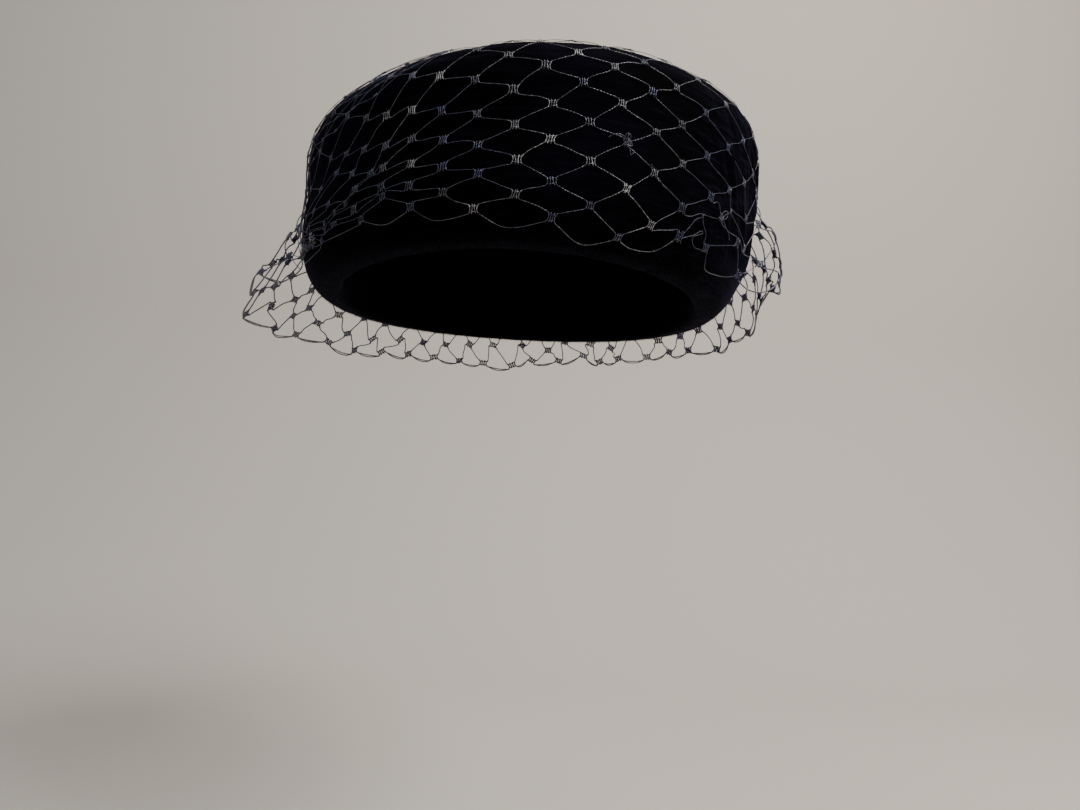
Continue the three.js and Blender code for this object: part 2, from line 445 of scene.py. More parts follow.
WIDENING_FROM, WIDENING_OVER = 9, 6     # rows above the lowest one at which the net is unstretched
NEAR_ROWS = (-6, 4)             # the lean and the growth end at these rows above and below the tabled one
HANGING_FROM, HANGING_OVER = -3, 7      # right of the front only the rows below these follow the edge
rows_up = np.arange(BOTTOM_ROW - TOP_ROW + 1)
widening = np.cumsum(eased((rows_up - WIDENING_FROM) / WIDENING_OVER))


def lattice(column, row):
    """Azimuth and length from the tip of the knot in a column and row."""
    table = np.array(COLUMN_TABLE)
    turn_of, lean_of, tabled, pitch, growth = (np.interp(column, table[:, 0], table[:, k])
                                               for k in range(1, 6))
    rows_on = row - TABLED_ROW
    near = np.clip(rows_on, *NEAR_ROWS)
    azimuth = np.radians(turn_of + lean_of * near)
    free = edge_at(azimuth, 1) * np.where(column > 0, eased((row - HANGING_FROM) / HANGING_OVER), 1)
    lying = tabled + pitch * rows_on + growth * near * (2 * rows_on - near)
    hanging = read_round(edge_length, azimuth) - EDGE_MARGIN - FREE_PITCH * (BOTTOM_ROW - row)
    return azimuth, lying * MM * (1 - free) + hanging * free


knots = [(u, v) for v in range(TOP_ROW, BOTTOM_ROW + 1) for u in range(-HALF_WAY, HALF_WAY)
         if (u + v) % 2 == 0]
number_of = {knot: i for i, knot in enumerate(knots)}
knot_column = np.array([u for u, v in knots])
knot_row = np.array([v for u, v in knots])
knot_azimuth, knot_length = lattice(knot_column, knot_row)
top_length = lattice(knot_column, np.full_like(knot_row, TOP_ROW))[1]
knot_length -= (top_length - TIP_RING) * (widening / widening[-1])[BOTTOM_ROW - knot_row]
print(len(knots), "knots in", COLUMNS, "columns and", BOTTOM_ROW - TOP_ROW + 1, "rows")

# %% [markdown]
# ## Where stitches hold the net
#
# Two stitched places disturb the lattice. At the left the strip is gathered in the hand and sewn down, so
# everything near runs together there. At the right it is pinched with one stitch. Knots near a stitch are
# first drawn towards it. A few whose place matters are then put there one by one, by azimuth and height.

# %% Stitched places
LEFT_CATCH = (-66, 14 * MM)     # azimuth in degrees and height
RIGHT_CATCH = (45.5, 23.5 * MM)
PLACED_KNOTS = [  # column, row, azimuth in degrees, height in mm
    (-9, 9, -61, 9.8),
    (-8, 0, -53, 27.5),
    (-8, 4, -58.8, 16),
    (-8, 6, -58.3, 13.5),
    (-8, 8, -57.5, 11),
    (-7, 1, -46.5, 30.5),
    (-7, 3, -48.2, 19.5),
    (-7, 9, -52.8, 8.4),
    (-6, 2, -40.2, 27.5),
    (-6, 4, -41.5, 17.5),
    (-6, 6, -45.5, 15.8),
    (-6, 8, -46.3, 12),
    (-5, 3, -34.6, 25.8),
    (-5, 5, -38.7, 21.4),
    (-5, 7, -38.9, 14.6),
    (-5, 9, -37, 10.9),
    (-4, 6, -31.2, 20),
    (-4, 8, -30.8, 16.8),
    (-1, 9, -10.6, 10.8),
    (4, 8, 26.2, 12.0),
    (5, 7, 32.6, 20),
    (5, 9, 34.2, 11.1),
    (6, 6, 40.3, 27.7),
    (6, 8, 39, 20),
    (7, 5, 46.8, 33.8),
    (7, 7, 45.4, 22.6),
    (7, 9, 43.6, 10.8),
    (8, 4, 54, 41.2),
    (8, 6, 49, 27),
    (8, 8, 56, 18.6),
    (9, 5, 58.2, 29.4),
    (9, 9, 64, 9.8),
]
LYING_SCATTER, FREE_SCATTER = 0.35 * MM, 1.15 * MM    # how far a knot strays, and how much more if free
SCATTER_RADIUS = 30 * MM        # nearer the centre of the tip than this, knots stray less
rng = np.random.default_rng(36)


def draw_towards(catch, strength, reach):
    """Draws the knots near a stitch along the sheet towards it."""
    azimuth = math.radians(catch[0])
    centre = length_at_height(azimuth, catch[1])
    aside = (knot_azimuth - azimuth) * radius_at(knot_azimuth, knot_length)
    along = knot_length - centre
    pull = strength * np.exp(-(aside ** 2 + along ** 2) / reach ** 2)
    return knot_azimuth - pull * (knot_azimuth - azimuth), knot_length - pull * along


knot_azimuth, knot_length = draw_towards(RIGHT_CATCH, strength=0.45, reach=9 * MM)
knot_azimuth, knot_length = draw_towards(LEFT_CATCH, strength=0.6, reach=15 * MM)
knot_free = hanging_at(knot_azimuth, knot_length)
looseness = LYING_SCATTER + FREE_SCATTER * knot_free
knot_radius = np.maximum(radius_at(knot_azimuth, knot_length), SCATTER_RADIUS)
knot_azimuth += rng.normal(0, 1, len(knots)) * looseness / knot_radius
knot_length += rng.normal(0, 1, len(knots)) * looseness
for column, row, degrees, height in PLACED_KNOTS:
    placed = number_of[column, row]
    knot_azimuth[placed] = math.radians(degrees)
    knot_length[placed] = length_at_height(math.radians(degrees), height * MM)
print(len(PLACED_KNOTS), "knots placed by hand round the stitches")

# %% [markdown]
# ## Lifting the net off the sheet
#
# Net never lies quite flat. On the tip its spare width is drawn into soft pleats that run to the centre.
# Where it hangs free it stands up in waves that grow towards the edge: a sum of a few sines round the hat.
# A cloth simulation finds such waves too, but it would carry the knots away from their places. Over the
# velvet the net is held off by the pile.

# %% Pleats and waves
NET_LIFT = 0.45 * MM
WAVES = [(6, 0.4, 1.2 * MM), (13, 1.9, 1.7 * MM), (20, 4.1, 1.3 * MM)]   # how many round, start, size
PLEATS = 18
PLEAT_REACH = 48 * MM           # the pleats begin this far from the centre of the tip
PLEAT_RISE = 0.8 * MM
PLEAT_CLOSING = 0.6             # how far a knot moves onto the nearest pleat
MOST_WAVE = 1.1                 # the waves grow until just past the lower edge


def pleating(length):
    """How much of a pleat there is, from 1 at the centre of the tip to 0 where the net lies flat."""
    return eased(1 - length / PLEAT_REACH)


def net_point(azimuth, length, lift=0.0):
    """A point of the draped net."""
    free = edge_at(azimuth, 1)
    crest, edge = read_round(crest_length, azimuth), read_round(edge_length, azimuth)
    grown = np.clip((length - crest) / (edge - crest), 0, MOST_WAVE) * free
    wave = sum(size * np.sin(count * azimuth + start) for count, start, size in WAVES)
    ridge = 0.5 + 0.5 * np.cos(PLEATS * azimuth)
    out = NET_LIFT + lift + wave * grown + PLEAT_RISE * ridge * pleating(length)
    place = read_sheet(sheet_points, azimuth, length)
    return place + read_sheet(sheet_normals, azimuth, length) * out[..., None]


nearest_pleat = np.round(knot_azimuth * PLEATS / (2 * np.pi)) * 2 * np.pi / PLEATS
knot_azimuth += (nearest_pleat - knot_azimuth) * PLEAT_CLOSING * pleating(knot_length)
knot_radius = radius_at(knot_azimuth, knot_length)
print("the highest knots stand", round(1000 * knot_length.min()), "mm from the centre of the tip")

# %% [markdown]
# ## Thread as tubes
#
# Every thread, long or short, is the same thing: a line of points with a round section. One function
# makes all the tubes of one kind at once, as arrays, because thousands of separate objects would be slow.
# It also unrolls each tube into a texture map, once round and on along the thread in metres, so that the
# material can twist the plies.

# %% Tubes from lines
HAT_MIDDLE = np.array([side_shift, 0, 10 * MM])    # the sections of all threads are turned away from here
THREAD_SIDES, TURN_SIDES = 5, 4 # of the section of a thread, and of the short turns round a knot


def tubes(paths, radius, sides):
    """Closed tubes round many lines of equally many points: vertices, triangles and texture places."""
    paths = np.asarray(paths, float)
    count, steps, _ = paths.shape
    tangent = unit(np.gradient(paths, axis=1))
    beside = unit(np.cross(tangent, paths - HAT_MIDDLE))
    above = np.cross(beside, tangent)
    angles = 2 * np.pi * np.arange(sides) / sides
    ring = np.cos(angles)[:, None] * beside[:, :, None] + np.sin(angles)[:, None] * above[:, :, None]
    radii = np.broadcast_to(np.asarray(radius, float).reshape(-1, 1, 1, 1), (count, 1, 1, 1))
    skin = (paths[:, :, None] + radii * ring).reshape(count, steps * sides, 3)
    points = np.concatenate([skin, paths[:, :1], paths[:, -1:]], axis=1)
    faces, turns, places = [], [], []
    for step in range(steps - 1):
        for k in range(sides):
            a, b = step * sides + k, step * sides + (k + 1) % sides
            faces += [(a, b, b + sides), (a, b + sides, a + sides)]
            turns += [(k, k + 1, k + 1), (k, k + 1, k)]
            places += [(step, step, step + 1), (step, step + 1, step + 1)]
    last = (steps - 1) * sides
    for k in range(sides):
        faces += [(k, steps * sides, (k + 1) % sides), (last + k, last + (k + 1) % sides, steps * sides + 1)]
        turns += [(k, k, k + 1), (k, k + 1, k)]
        places += [(0, 0, 0), (steps - 1,) * 3]
    shift = (np.arange(count) * (steps * sides + 2))[:, None, None]
    length = np.cumsum(np.linalg.norm(np.diff(paths, axis=1, prepend=paths[:, :1]), axis=2), axis=1)
    along = length[:, np.array(places)]
    turned = np.broadcast_to(np.array(turns) / sides, along.shape)
    texture = np.stack([turned, along], axis=-1).reshape(-1, 2)
    return points.reshape(-1, 3), (np.array(faces)[None] + shift).reshape(-1, 3), texture


def joined(name, parts):
    """One object from several lots of points, triangles and texture places."""
    points, faces, start = [], [], 0
    for some_points, some_faces, _ in parts:
        points.append(some_points)
        faces.append(some_faces + start)
        start += len(some_points)
    points, faces = np.concatenate(points), np.concatenate(faces)
    mesh = bpy.data.meshes.new(name)
    mesh.vertices.add(len(points))
    mesh.vertices.foreach_set("co", points.astype(np.float32).ravel())
    mesh.loops.add(len(faces) * 3)
    mesh.loops.foreach_set("vertex_index", faces.astype(np.int32).ravel())
    mesh.polygons.add(len(faces))
    mesh.polygons.foreach_set("loop_start", np.arange(0, len(faces) * 3, 3, dtype=np.int32))
    texture = mesh.uv_layers.new(name="thread")
    texture.data.foreach_set("uv", np.concatenate([part[2] for part in parts]).astype(np.float32).ravel())
    mesh.update(calc_edges=True)
    mesh.shade_smooth()
    made = bpy.data.objects.new(name, mesh)
    bpy.context.scene.collection.objects.link(made)
    print(name, "has", len(faces), "triangles")
    return made


# %% [markdown]
# ## Knots
#
# A knot of hat net is a small block of four threads side by side, drawn in at the waist and closed by a
# turn of thread near each end. How the thread runs inside it nobody sees at this size, so we lay only what
# shows: the four threads and the two turns. The strands leave from its four corners. Each knot gets its
# own size and tilt. Where the net is crowded the knots are narrower, and in the gathers they are flattened
# and turned along the pull.

# %% Knot blocks
KNOT_WIDTH, KNOT_HEIGHT = 3.0 * MM, 2.9 * MM
WIDTH_SPREAD, HEIGHT_SPREAD = (0.88, 1.15), (0.92, 1.12)
UNCROWDED_RADIUS = 60 * MM      # nearer the centre of the tip than this, knots are narrower
NARROWEST = 0.3                 # share of its width that a knot keeps there
THREAD = 0.105 * MM             # half the thickness of a thread
FREE_THICKENING = 2.0           # the free net is laid double: its threads are this much thicker again
FREE_WIDER, FREE_TALLER = 0.45, 0.15
GATHERED_NARROWER, GATHERED_FLATTER = 0.3, 0.55
LYING_TILT, FREE_TILT = 4, 16   # degrees, and how much more in the free net
GATHERED_TILT = math.radians(-35)
GATHER_REACH = 24 * MM
MOST_KNOT_LIFT = 0.25 * MM
KNOT_SIZES = [  # column and row of a knot, its width and its height in shares of the usual
    (6, 8, 0.3, 0.55), (8, 6, 0.4, 0.63), (-6, 4, 0.6, 0.8), (-6, 6, 0.6, 0.8), (-7, 5, 0.6, 0.8),
    (-7, 7, 0.6, 0.8), (-8, 4, 0.4, 0.6), (-8, 6, 0.4, 0.6), (-8, 8, 0.4, 0.6), (-6, 8, 1.5, 0.75),
    (5, 7, 1.15, 1.25), (5, 9, 1.25, 1.45), (6, 6, 1.4, 1.2), (7, 9, 1.25, 1.15), (8, 8, 1.5, 1.2),
    (9, 9, 1.4, 1.2),
]
crowding = np.clip(knot_radius / UNCROWDED_RADIUS, NARROWEST, 1)
gather_aside = (knot_azimuth - math.radians(LEFT_CATCH[0])) * knot_radius
gather_along = knot_length - length_at_height(math.radians(LEFT_CATCH[0]), LEFT_CATCH[1])
gathered = np.exp(-(gather_aside ** 2 + gather_along ** 2) / GATHER_REACH ** 2)
own_width, own_height = np.ones(len(knots)), np.ones(len(knots))
for column, row, width, height in KNOT_SIZES:
    own_width[number_of[column, row]], own_height[number_of[column, row]] = width, height
knot_width = KNOT_WIDTH * rng.uniform(*WIDTH_SPREAD, len(knots)) * crowding
knot_width *= (1 + FREE_WIDER * knot_free) * (1 - GATHERED_NARROWER * gathered) * own_width
knot_height = KNOT_HEIGHT * rng.uniform(*HEIGHT_SPREAD, len(knots)) * np.sqrt(crowding)
knot_height *= (1 + FREE_TALLER * knot_free) * (1 - GATHERED_FLATTER * gathered) * own_height
knot_tilt = rng.normal(0, 1, len(knots)) * np.radians(LYING_TILT + FREE_TILT * knot_free)
knot_tilt += GATHERED_TILT * gathered
knot_lift = rng.uniform(0, MOST_KNOT_LIFT, len(knots))
print("the average knot is", round(1000 * knot_width.mean(), 1), "mm wide")


def on_knot(which, across, down):
    """Azimuth and length of a point near a knot: across and down in shares of half its width and height."""
    x = across * knot_width[which] / 2
    y = down * knot_height[which] / 2
    tilt = knot_tilt[which]
    aside = x * np.cos(tilt) - y * np.sin(tilt)
    along = x * np.sin(tilt) + y * np.cos(tilt)
    return knot_azimuth[which] + aside / knot_radius[which], knot_length[which] + along


# %% Threads of the knots
SIDE_BY_SIDE = (-1, -0.34, 0.34, 1)     # places across the knot, in shares of half its width
DOWN_THE_KNOT = (-1, -0.66, 0, 0.66, 1)
TURNS_AT, ALONG_A_TURN = (-0.6, 0.6), (-0.85, 0, 0.85)
INNER_SLANT, TURN_SLANT = 0.13, 0.15
BLOCK_THICKNESS = 1.5                   # in threads
WAIST, SPLAY = 0.72, 0.4                # how wide the knot is at its waist and how much wider at its ends
BLOCK_RISE, TURN_RISE = 0.2 * MM, 0.35 * MM
every = np.arange(len(knots))
knot_parts = []
thread_of_knot = THREAD * (1 + FREE_THICKENING * knot_free) * np.minimum(own_width, 1) ** 0.5
for place in SIDE_BY_SIDE:
    slant = rng.normal(0, INNER_SLANT, len(knots)) * (abs(place) < 0.5)    # only the two inner threads slant
    line = []
    for down in DOWN_THE_KNOT:
        across = place * (WAIST + SPLAY * abs(down) ** 2.5) + slant * down
        line.append(net_point(*on_knot(every, across, down), knot_lift + BLOCK_RISE * (1 - abs(down))))
    knot_parts.append(tubes(np.stack(line, axis=1), BLOCK_THICKNESS * thread_of_knot, THREAD_SIDES))
for end in TURNS_AT:
    slant = rng.normal(0, TURN_SLANT, len(knots))
    line = [net_point(*on_knot(every, place, end + slant * place), knot_lift + TURN_RISE * (1 - abs(place)))
            for place in ALONG_A_TURN]
    knot_parts.append(tubes(np.stack(line, axis=1), thread_of_knot, TURN_SIDES))
print("each knot is made of", len(knot_parts), "threads")

# %% [markdown]
# ## Strands
#
# A strand runs from a lower corner of one knot to an upper corner of the next. All strands are about equally
# long. Where the knots stand as far apart as the thread allows it is nearly straight. Where they stand
# closer, the spare thread mostly stands off the sheet and sags a little. How far follows from the spare
# length: a shallow arc of chord c and height h is longer than its chord by 8h²/3c. Towards the left the
# threads on the crown are worn thinner.

# %% Strands between knots
STRAND_POINTS = 9
STRAND_LENGTH = 10.4 * MM
CORNER_ASIDE, CORNER_DOWN = 1.1, 0.97   # in shares of half the knot's width and height
MOST_SAG = 1.6 * MM
SAG_SHARE, RISE_SHARE = (0.02, 0.16), (0.1, 0.6)        # of the arc that the spare length allows
SAG_SCATTER, SWING_SCATTER = 0.1 * MM, 0.08 * MM
LYING_RISE, FREE_RISE = 0.16 * MM, 0.8 * MM     # the most a strand stands off, and how much more if free
SAGGING_DOWN = 0.7              # this share of the strands sags down, the others up
MOST_WEAR = 0.22                # of the thickness
WEAR_FROM, WEAR_TO = 5, -30     # degrees round the hat
SLACK_STRANDS = [  # column and row of the upper knot, side it leaves on, sag and swing in mm
    (5, 7, 1, 0.4, 0.3),
    (6, 6, 1, -1.9, 0.0),
    (6, 8, -1, 1.0, 0.3),
    (6, 8, 1, -0.7, 0.6),
    (7, 7, 1, 0.8, 0.0),
]


def neighbour(u, v):
    """The number of a knot, counting on round the hat past the back."""
    return number_of[(u + HALF_WAY) % COLUMNS - HALF_WAY, v]


def shortest_turn(angle):
    """The same angle between half a turn back and half a turn ahead."""
    return (angle + np.pi) % (2 * np.pi) - np.pi


def strand_lines(start, end, sag, swing, lift, rise):
    """Lines between two places of the sheet, sagging in one arc, swinging in two, and rising off it.

    The sheet narrows towards the tip, so a straight line turns faster where its radius is small.
    """
    turn_by, fall = shortest_turn(end[0] - start[0]), end[1] - start[1]
    radius = radius_at(start[0] + turn_by / 2, start[1] + fall / 2)
    radius_before, radius_after = radius_at(*start), radius_at(*end)
    chord = np.maximum(np.hypot(turn_by * radius, fall), MM)
    side_way, down_way = -fall / chord, turn_by * radius / chord
    lines = []
    for t in np.linspace(0, 1, STRAND_POINTS):
        shift = sag * 4 * t * (1 - t) + swing * np.sin(2 * np.pi * t)
        forward = radius_before * (1 - t) + radius_after * np.cos(turn_by) * t
        turned = np.arctan2(radius_after * np.sin(turn_by) * t, forward)
        azimuth = start[0] + turned + shift * side_way / radius
        length = start[1] + fall * t + shift * down_way
        lines.append(net_point(azimuth, length, lift[0] * (1 - t) + lift[1] * t + rise * 4 * t * (1 - t)))
    return np.stack(lines, axis=1)


pairs = [(i, neighbour(u + way, v + 1), way)
         for i, (u, v) in enumerate(knots) for way in (-1, 1) if v < BOTTOM_ROW]
first, second, way = (np.array(column) for column in zip(*pairs))
strand_start = on_knot(first, CORNER_ASIDE * way, CORNER_DOWN)
strand_end = on_knot(second, -CORNER_ASIDE * way, -CORNER_DOWN)
chords = np.linalg.norm(net_point(*strand_start) - net_point(*strand_end), axis=1)
spare = np.clip(STRAND_LENGTH - chords, 0, None)
slack = np.minimum(np.sqrt(3 * chords * spare / 8), MOST_SAG)
sags_down = np.where(rng.uniform(0, 1, len(pairs)) < SAGGING_DOWN, 1, -1) * way
hanging_free = 0.5 * (knot_free[first] + knot_free[second])
sag = slack * sags_down * rng.uniform(*SAG_SHARE, len(pairs)) * (1 + hanging_free)
sag += rng.normal(0, SAG_SCATTER, len(pairs))
swing = rng.normal(0, SWING_SCATTER, len(pairs)) * (1 + hanging_free)
for column, row, side, sag_mm, swing_mm in SLACK_STRANDS:
    placed = pairs.index((number_of[column, row], neighbour(column + side, row + 1), side))
    sag[placed], swing[placed] = sag_mm * MM, swing_mm * MM
rise = np.minimum(slack * rng.uniform(*RISE_SHARE, len(pairs)), LYING_RISE + FREE_RISE * hanging_free)
strands = strand_lines(strand_start, strand_end, sag, swing, (knot_lift[first], knot_lift[second]), rise)
strand_parts, strand_shades = [], []


def add_threads(lines, thickness, shade=0.0):
    """Adds a tube along each line to the strands, and keeps a shade for each of its points."""
    part = tubes(lines, thickness, THREAD_SIDES)
    strand_parts.append(part)
    strand_shades.append(np.repeat(np.broadcast_to(shade, len(lines)), len(part[0]) // len(lines)))


wear = np.clip((WEAR_FROM - np.degrees(knot_azimuth[first])) / (WEAR_FROM - WEAR_TO), 0, 1)
worn_thin = 1 - MOST_WEAR * wear * (1 - hanging_free)
add_threads(strands, THREAD * worn_thin * (1 + FREE_THICKENING * hanging_free))
print(len(pairs), "strands, on average", round(1000 * chords.mean(), 1), "mm from knot to knot")

# %% [markdown]
# ## The lower edge
#
# Below the lowest knots one thread hangs from knot to knot in flat scallops. Towards the gathered place it
# is pulled straight. Where the net stands free it is doubled, which stiffens it. One scallop at the right
# has turned over into a small loop, so that one is left out here and given with the loose threads.

# %% Edge thread
EDGE_POINTS = 17
SCALLOP_STEPS = 6               # points of the smooth line between two corners of a scallop
EDGE_SPAN = 10 * MM             # scallops are shaped over this span and then stretched to theirs
EDGE_DIP = (2.7 * MM, 3.8 * MM)
FIRST_BEND, SECOND_BEND = (0.22, 0.4), (0.6, 0.78)      # shares of the way along a scallop
STRAIGHT_DIP = 0.4 * MM
STRAIGHT_LEFT_OF = -5           # columns left of this one are pulled straight, as far as they lie
FREE_DIP = 0.4                  # share of the dip where the net is free, and again for the doubled thread
LOOPED_SCALLOP = (5, 9)
FRONT_SCALLOPS = [  # column of the knot at its left, then for its two bends: share of the way, dip in mm
    (-5, 0.34, 2.3, 0.56, 2.6),
    (-3, 0.36, 3.0, 0.7, 2.0),
    (-1, 0.38, 3.9, 0.6, 3.5),
    (1, 0.46, 4.9, 0.61, 4.7),
    (3, 0.26, 3.0, 0.68, 4.2),
    (7, 0.18, 5.4, 0.6, 3.9),
]
edge_knots = sorted((i for i, (u, v) in enumerate(knots) if v == BOTTOM_ROW), key=lambda i: knots[i][0])


def edge_thread(left, right, bends):
    """Scallops with two rounded bends that hang from the lower corners of the knots beside them."""
    start, end = on_knot(left, 1, 1), on_knot(right, -1, 1)
    shapes = []
    for first_share, first_dip, second_share, second_dip in bends:
        corners = [(0, 0), (first_share * EDGE_SPAN, first_dip),
                   (second_share * EDGE_SPAN, second_dip), (EDGE_SPAN, 0)]
        shapes.append(smooth_line(np.array(corners), SCALLOP_STEPS))
    lines = []
    for t in np.linspace(0, 1, EDGE_POINTS):
        hanging = np.array([np.interp(t * EDGE_SPAN, shape[:, 0], shape[:, 1]) for shape in shapes])
        azimuth = start[0] + shortest_turn(end[0] - start[0]) * t
        length = start[1] + (end[1] - start[1]) * t + hanging
        lines.append(net_point(azimuth, length, knot_lift[left]))
    return np.stack(lines, axis=1)


edge_first = np.array(edge_knots)
edge_second = np.roll(edge_first, -1)
edge_dip = rng.uniform(*EDGE_DIP, len(edge_first))
lying = knot_free[edge_first] < 0.5
edge_dip[(knot_column[edge_first] < STRAIGHT_LEFT_OF) & lying] = STRAIGHT_DIP
edge_dip[~lying] *= FREE_DIP
edge_bends = np.stack([rng.uniform(*FIRST_BEND, len(edge_first)), edge_dip,
                       rng.uniform(*SECOND_BEND, len(edge_first)), edge_dip], axis=1)
for column, *bends in FRONT_SCALLOPS:
    edge_bends[edge_knots.index(number_of[column, BOTTOM_ROW])] = np.array(bends) * (1, MM, 1, MM)
whole = edge_first != number_of[LOOPED_SCALLOP]
doubled = ~lying
for chosen, share in ((whole, 1), (doubled, FREE_DIP)):
    left, right = edge_first[chosen], edge_second[chosen]
    scallops = edge_thread(left, right, edge_bends[chosen] * (1, share, 1, share))
    add_threads(scallops, np.maximum(thread_of_knot[left], thread_of_knot[right]))
print(len(edge_first), "scallops round the lower edge,", int(doubled.sum()), "of them doubled")

# %% [markdown]
# ## Loose and mended threads
#
# A worn net tells its age by its repairs. Right of the front one knot has been tied again by hand: it has
# extra turns of thread and curling tails. Two tails stand off the knot below it, and at the pinched place
# slack thread lies in loops. Each is a smooth line through a few places near a knot. Where sewing thread
# holds a bundle it is a short spiral, and one stray thread runs from the gather over the rolled edge. It
# has left the net, so it is laid on the crown.

# %% Loose threads
LOOSE_POINTS = 30
LOOSE_STEPS = 12
LOOSE_SHADE = -0.05             # below zero a thread is bluer, above zero greyer
LOOSE_THREADS = [  # column and row of a knot, then places round it in mm: across, down, off the net
    (3, 5, [(-0.6, -1.0, 0.6), (-1.9, -1.7, 1.2), (-3.9, -1.9, 1.5), (-5.8, -1.4, 1.3), (-7.0, -0.4, 0.7)]),
    (3, 5, [(0.2, 1.0, 0.7), (0.9, 2.4, 1.3), (1.6, 4.1, 1.1), (2.1, 3.6, 1.3), (2.7, 2.1, 0.7)]),
    (3, 5, [(-1.0, -0.8, 0.7), (-1.4, -2.2, 1.3), (-0.6, -2.9, 1.5), (0.6, -2.5, 1.3), (0.7, -1.0, 0.8)]),
    (3, 5, [(-0.2, -1.2, 0.8), (-0.4, -2.4, 1.4), (0.3, -2.6, 1.2), (0.5, -1.4, 0.8)]),
    (3, 5, [(-1.7, 0.9, 0.5), (0.1, -0.3, 1.6), (1.8, 0.6, 0.8), (0.2, 1.3, 1.5), (-1.6, -0.7, 0.4)]),
    (4, 6, [(0.8, 1.0, 0.5), (2.0, 2.2, 1.1), (3.6, 3.1, 0.9), (5.8, 3.9, 0.3)]),
    (4, 6, [(-0.9, -1.0, 0.5), (-1.6, -1.8, 1.0), (-1.9, -2.5, 0.5)]),
    (5, 9, [(1.5, 0.6, 0.1), (2.3, -0.2, 0.2), (6.4, -2.6, 0.5), (9.5, -5.2, 0.8), (10.4, -4.8, 0.9),
            (8.0, -3.2, 1.0), (6.0, -1.8, 0.8), (7.0, -0.4, 0.5), (9.7, 0.9, 0.3), (13.6, 0.5, 0.2)]),
    (7, 7, [(1.2, 0.9, 0.8), (3.5, 2.4, 1.2), (7.0, 3.6, 1.2), (10.5, 4.6, 0.4)]),
    (7, 7, [(-1.4, -0.6, 0.8), (-0.4, -2.2, 1.4), (1.4, -2.6, 1.5), (2.2, -1.0, 1.3), (0.8, 0.3, 1.3),
            (-0.6, 0.6, 0.8)]),
    (-9, 9, [(-2.0, -2.2, 1.0), (0.5, -2.6, 1.8), (1.8, 0.4, 1.6), (-0.4, 2.2, 1.4), (-2.2, 1.0, 0.8)]),
]


def round_knot(column, row, across, down, off):
    """Points of the net given in metres across, down and off it from the middle of a knot."""
    knot = number_of[column, row]
    return net_point(knot_azimuth[knot] + across / knot_radius[knot], knot_length[knot] + down, off)


def loose_thread(column, row, places):
    """A smooth line of thread through places given in mm round a knot."""
    line = smooth_line(np.array(places) * MM, LOOSE_STEPS)
    even = np.linspace(0, 1, LOOSE_POINTS)
    share = running_length(line) / running_length(line)[-1]
    return round_knot(column, row, *(np.interp(even, share, line[:, k]) for k in range(3)))


loose = [loose_thread(*row) for row in LOOSE_THREADS]
add_threads(np.array(loose), THREAD, LOOSE_SHADE)
print(len(loose), "loose threads")

# %% Stitches that hold the net
STITCHES = [  # column and row of a knot, how many turns of thread, half their width and height in mm, shade
    (3, 5, 3, 1.7, 1.1, -0.08),
    (-8, 8, 3, 1.7, 1.9, 0.25),
    (-11, 9, 2, 1.5, 1.2, -0.2),
    (-10, 8, 2, 1.3, 1.2, -0.2),
    (-18, 6, 5, 2.2, 1.6, -0.05),
    (-17, 7, 4, 1.6, 1.4, -0.05),
]
STITCH_POINTS = 120
STITCH_THICKNESS = 1.15         # in threads of the net


def stitches(column, row, turns, half_wide, half_high):
    """Uneven turns of sewing thread wound over a bundle, each a little lower than the one before."""
    t = np.linspace(0, 1, STITCH_POINTS)
    angle = 2 * np.pi * turns * t
    across = half_wide * MM * np.cos(angle) * (0.8 + 0.3 * np.sin(5.3 * t + column))
    down = half_high * MM * (2 * t - 1) + 0.5 * MM * np.sin(2.1 * angle)
    off = (0.35 + 0.85 * np.sin(angle)) * MM
    return round_knot(column, row, across, down, off)


sewn = np.array([stitches(*row) for *row, shade in STITCHES])
add_threads(sewn, STITCH_THICKNESS * THREAD, [shade for *row, shade in STITCHES])
print(len(STITCHES), "stitched bundles")

# %% A thread over the rolled edge
STRAY_PLACES = [  # azimuth in degrees, share of the way from the tip to the mouth
    (-52.4, 0.895), (-54.1, 0.907), (-59.5, 0.911), (-65.7, 0.909), (-73.4, 0.898), (-80, 0.87),
]
STRAY_LIFT = 0.65 * MM
STRAY_SHADE = -0.16
STRAY_THICKNESS = 0.85
ROUTE_STEPS = 8                 # points of the smooth line between two places of a route
stray_azimuth, stray_share = smooth_line(np.array(STRAY_PLACES), ROUTE_STEPS).T
stray_azimuth = np.radians(stray_azimuth)
stray_normals = outward(crown_point, stray_azimuth, stray_share, 1)
stray_line = crown_point(stray_azimuth, stray_share) + STRAY_LIFT * stray_normals
add_threads(stray_line[None], STRAY_THICKNESS * THREAD, STRAY_SHADE)
print("one stray thread,", round(1000 * running_length(stray_line)[-1]), "mm long")

# %% [markdown]
# ## A fold of net on the left shoulder
#
# The net has more width than the crown has room for. At the left the spare width lies in one soft fold: it
# comes up from the gathered place along the side, turns over the shoulder and is drawn together again at a
# knot on the edge of the tip. A net pushed together is still a lattice, only a narrow one. So the fold is a
# band of wavy threads that touch in turn on one side and the other, with a flattened knot at each touch.

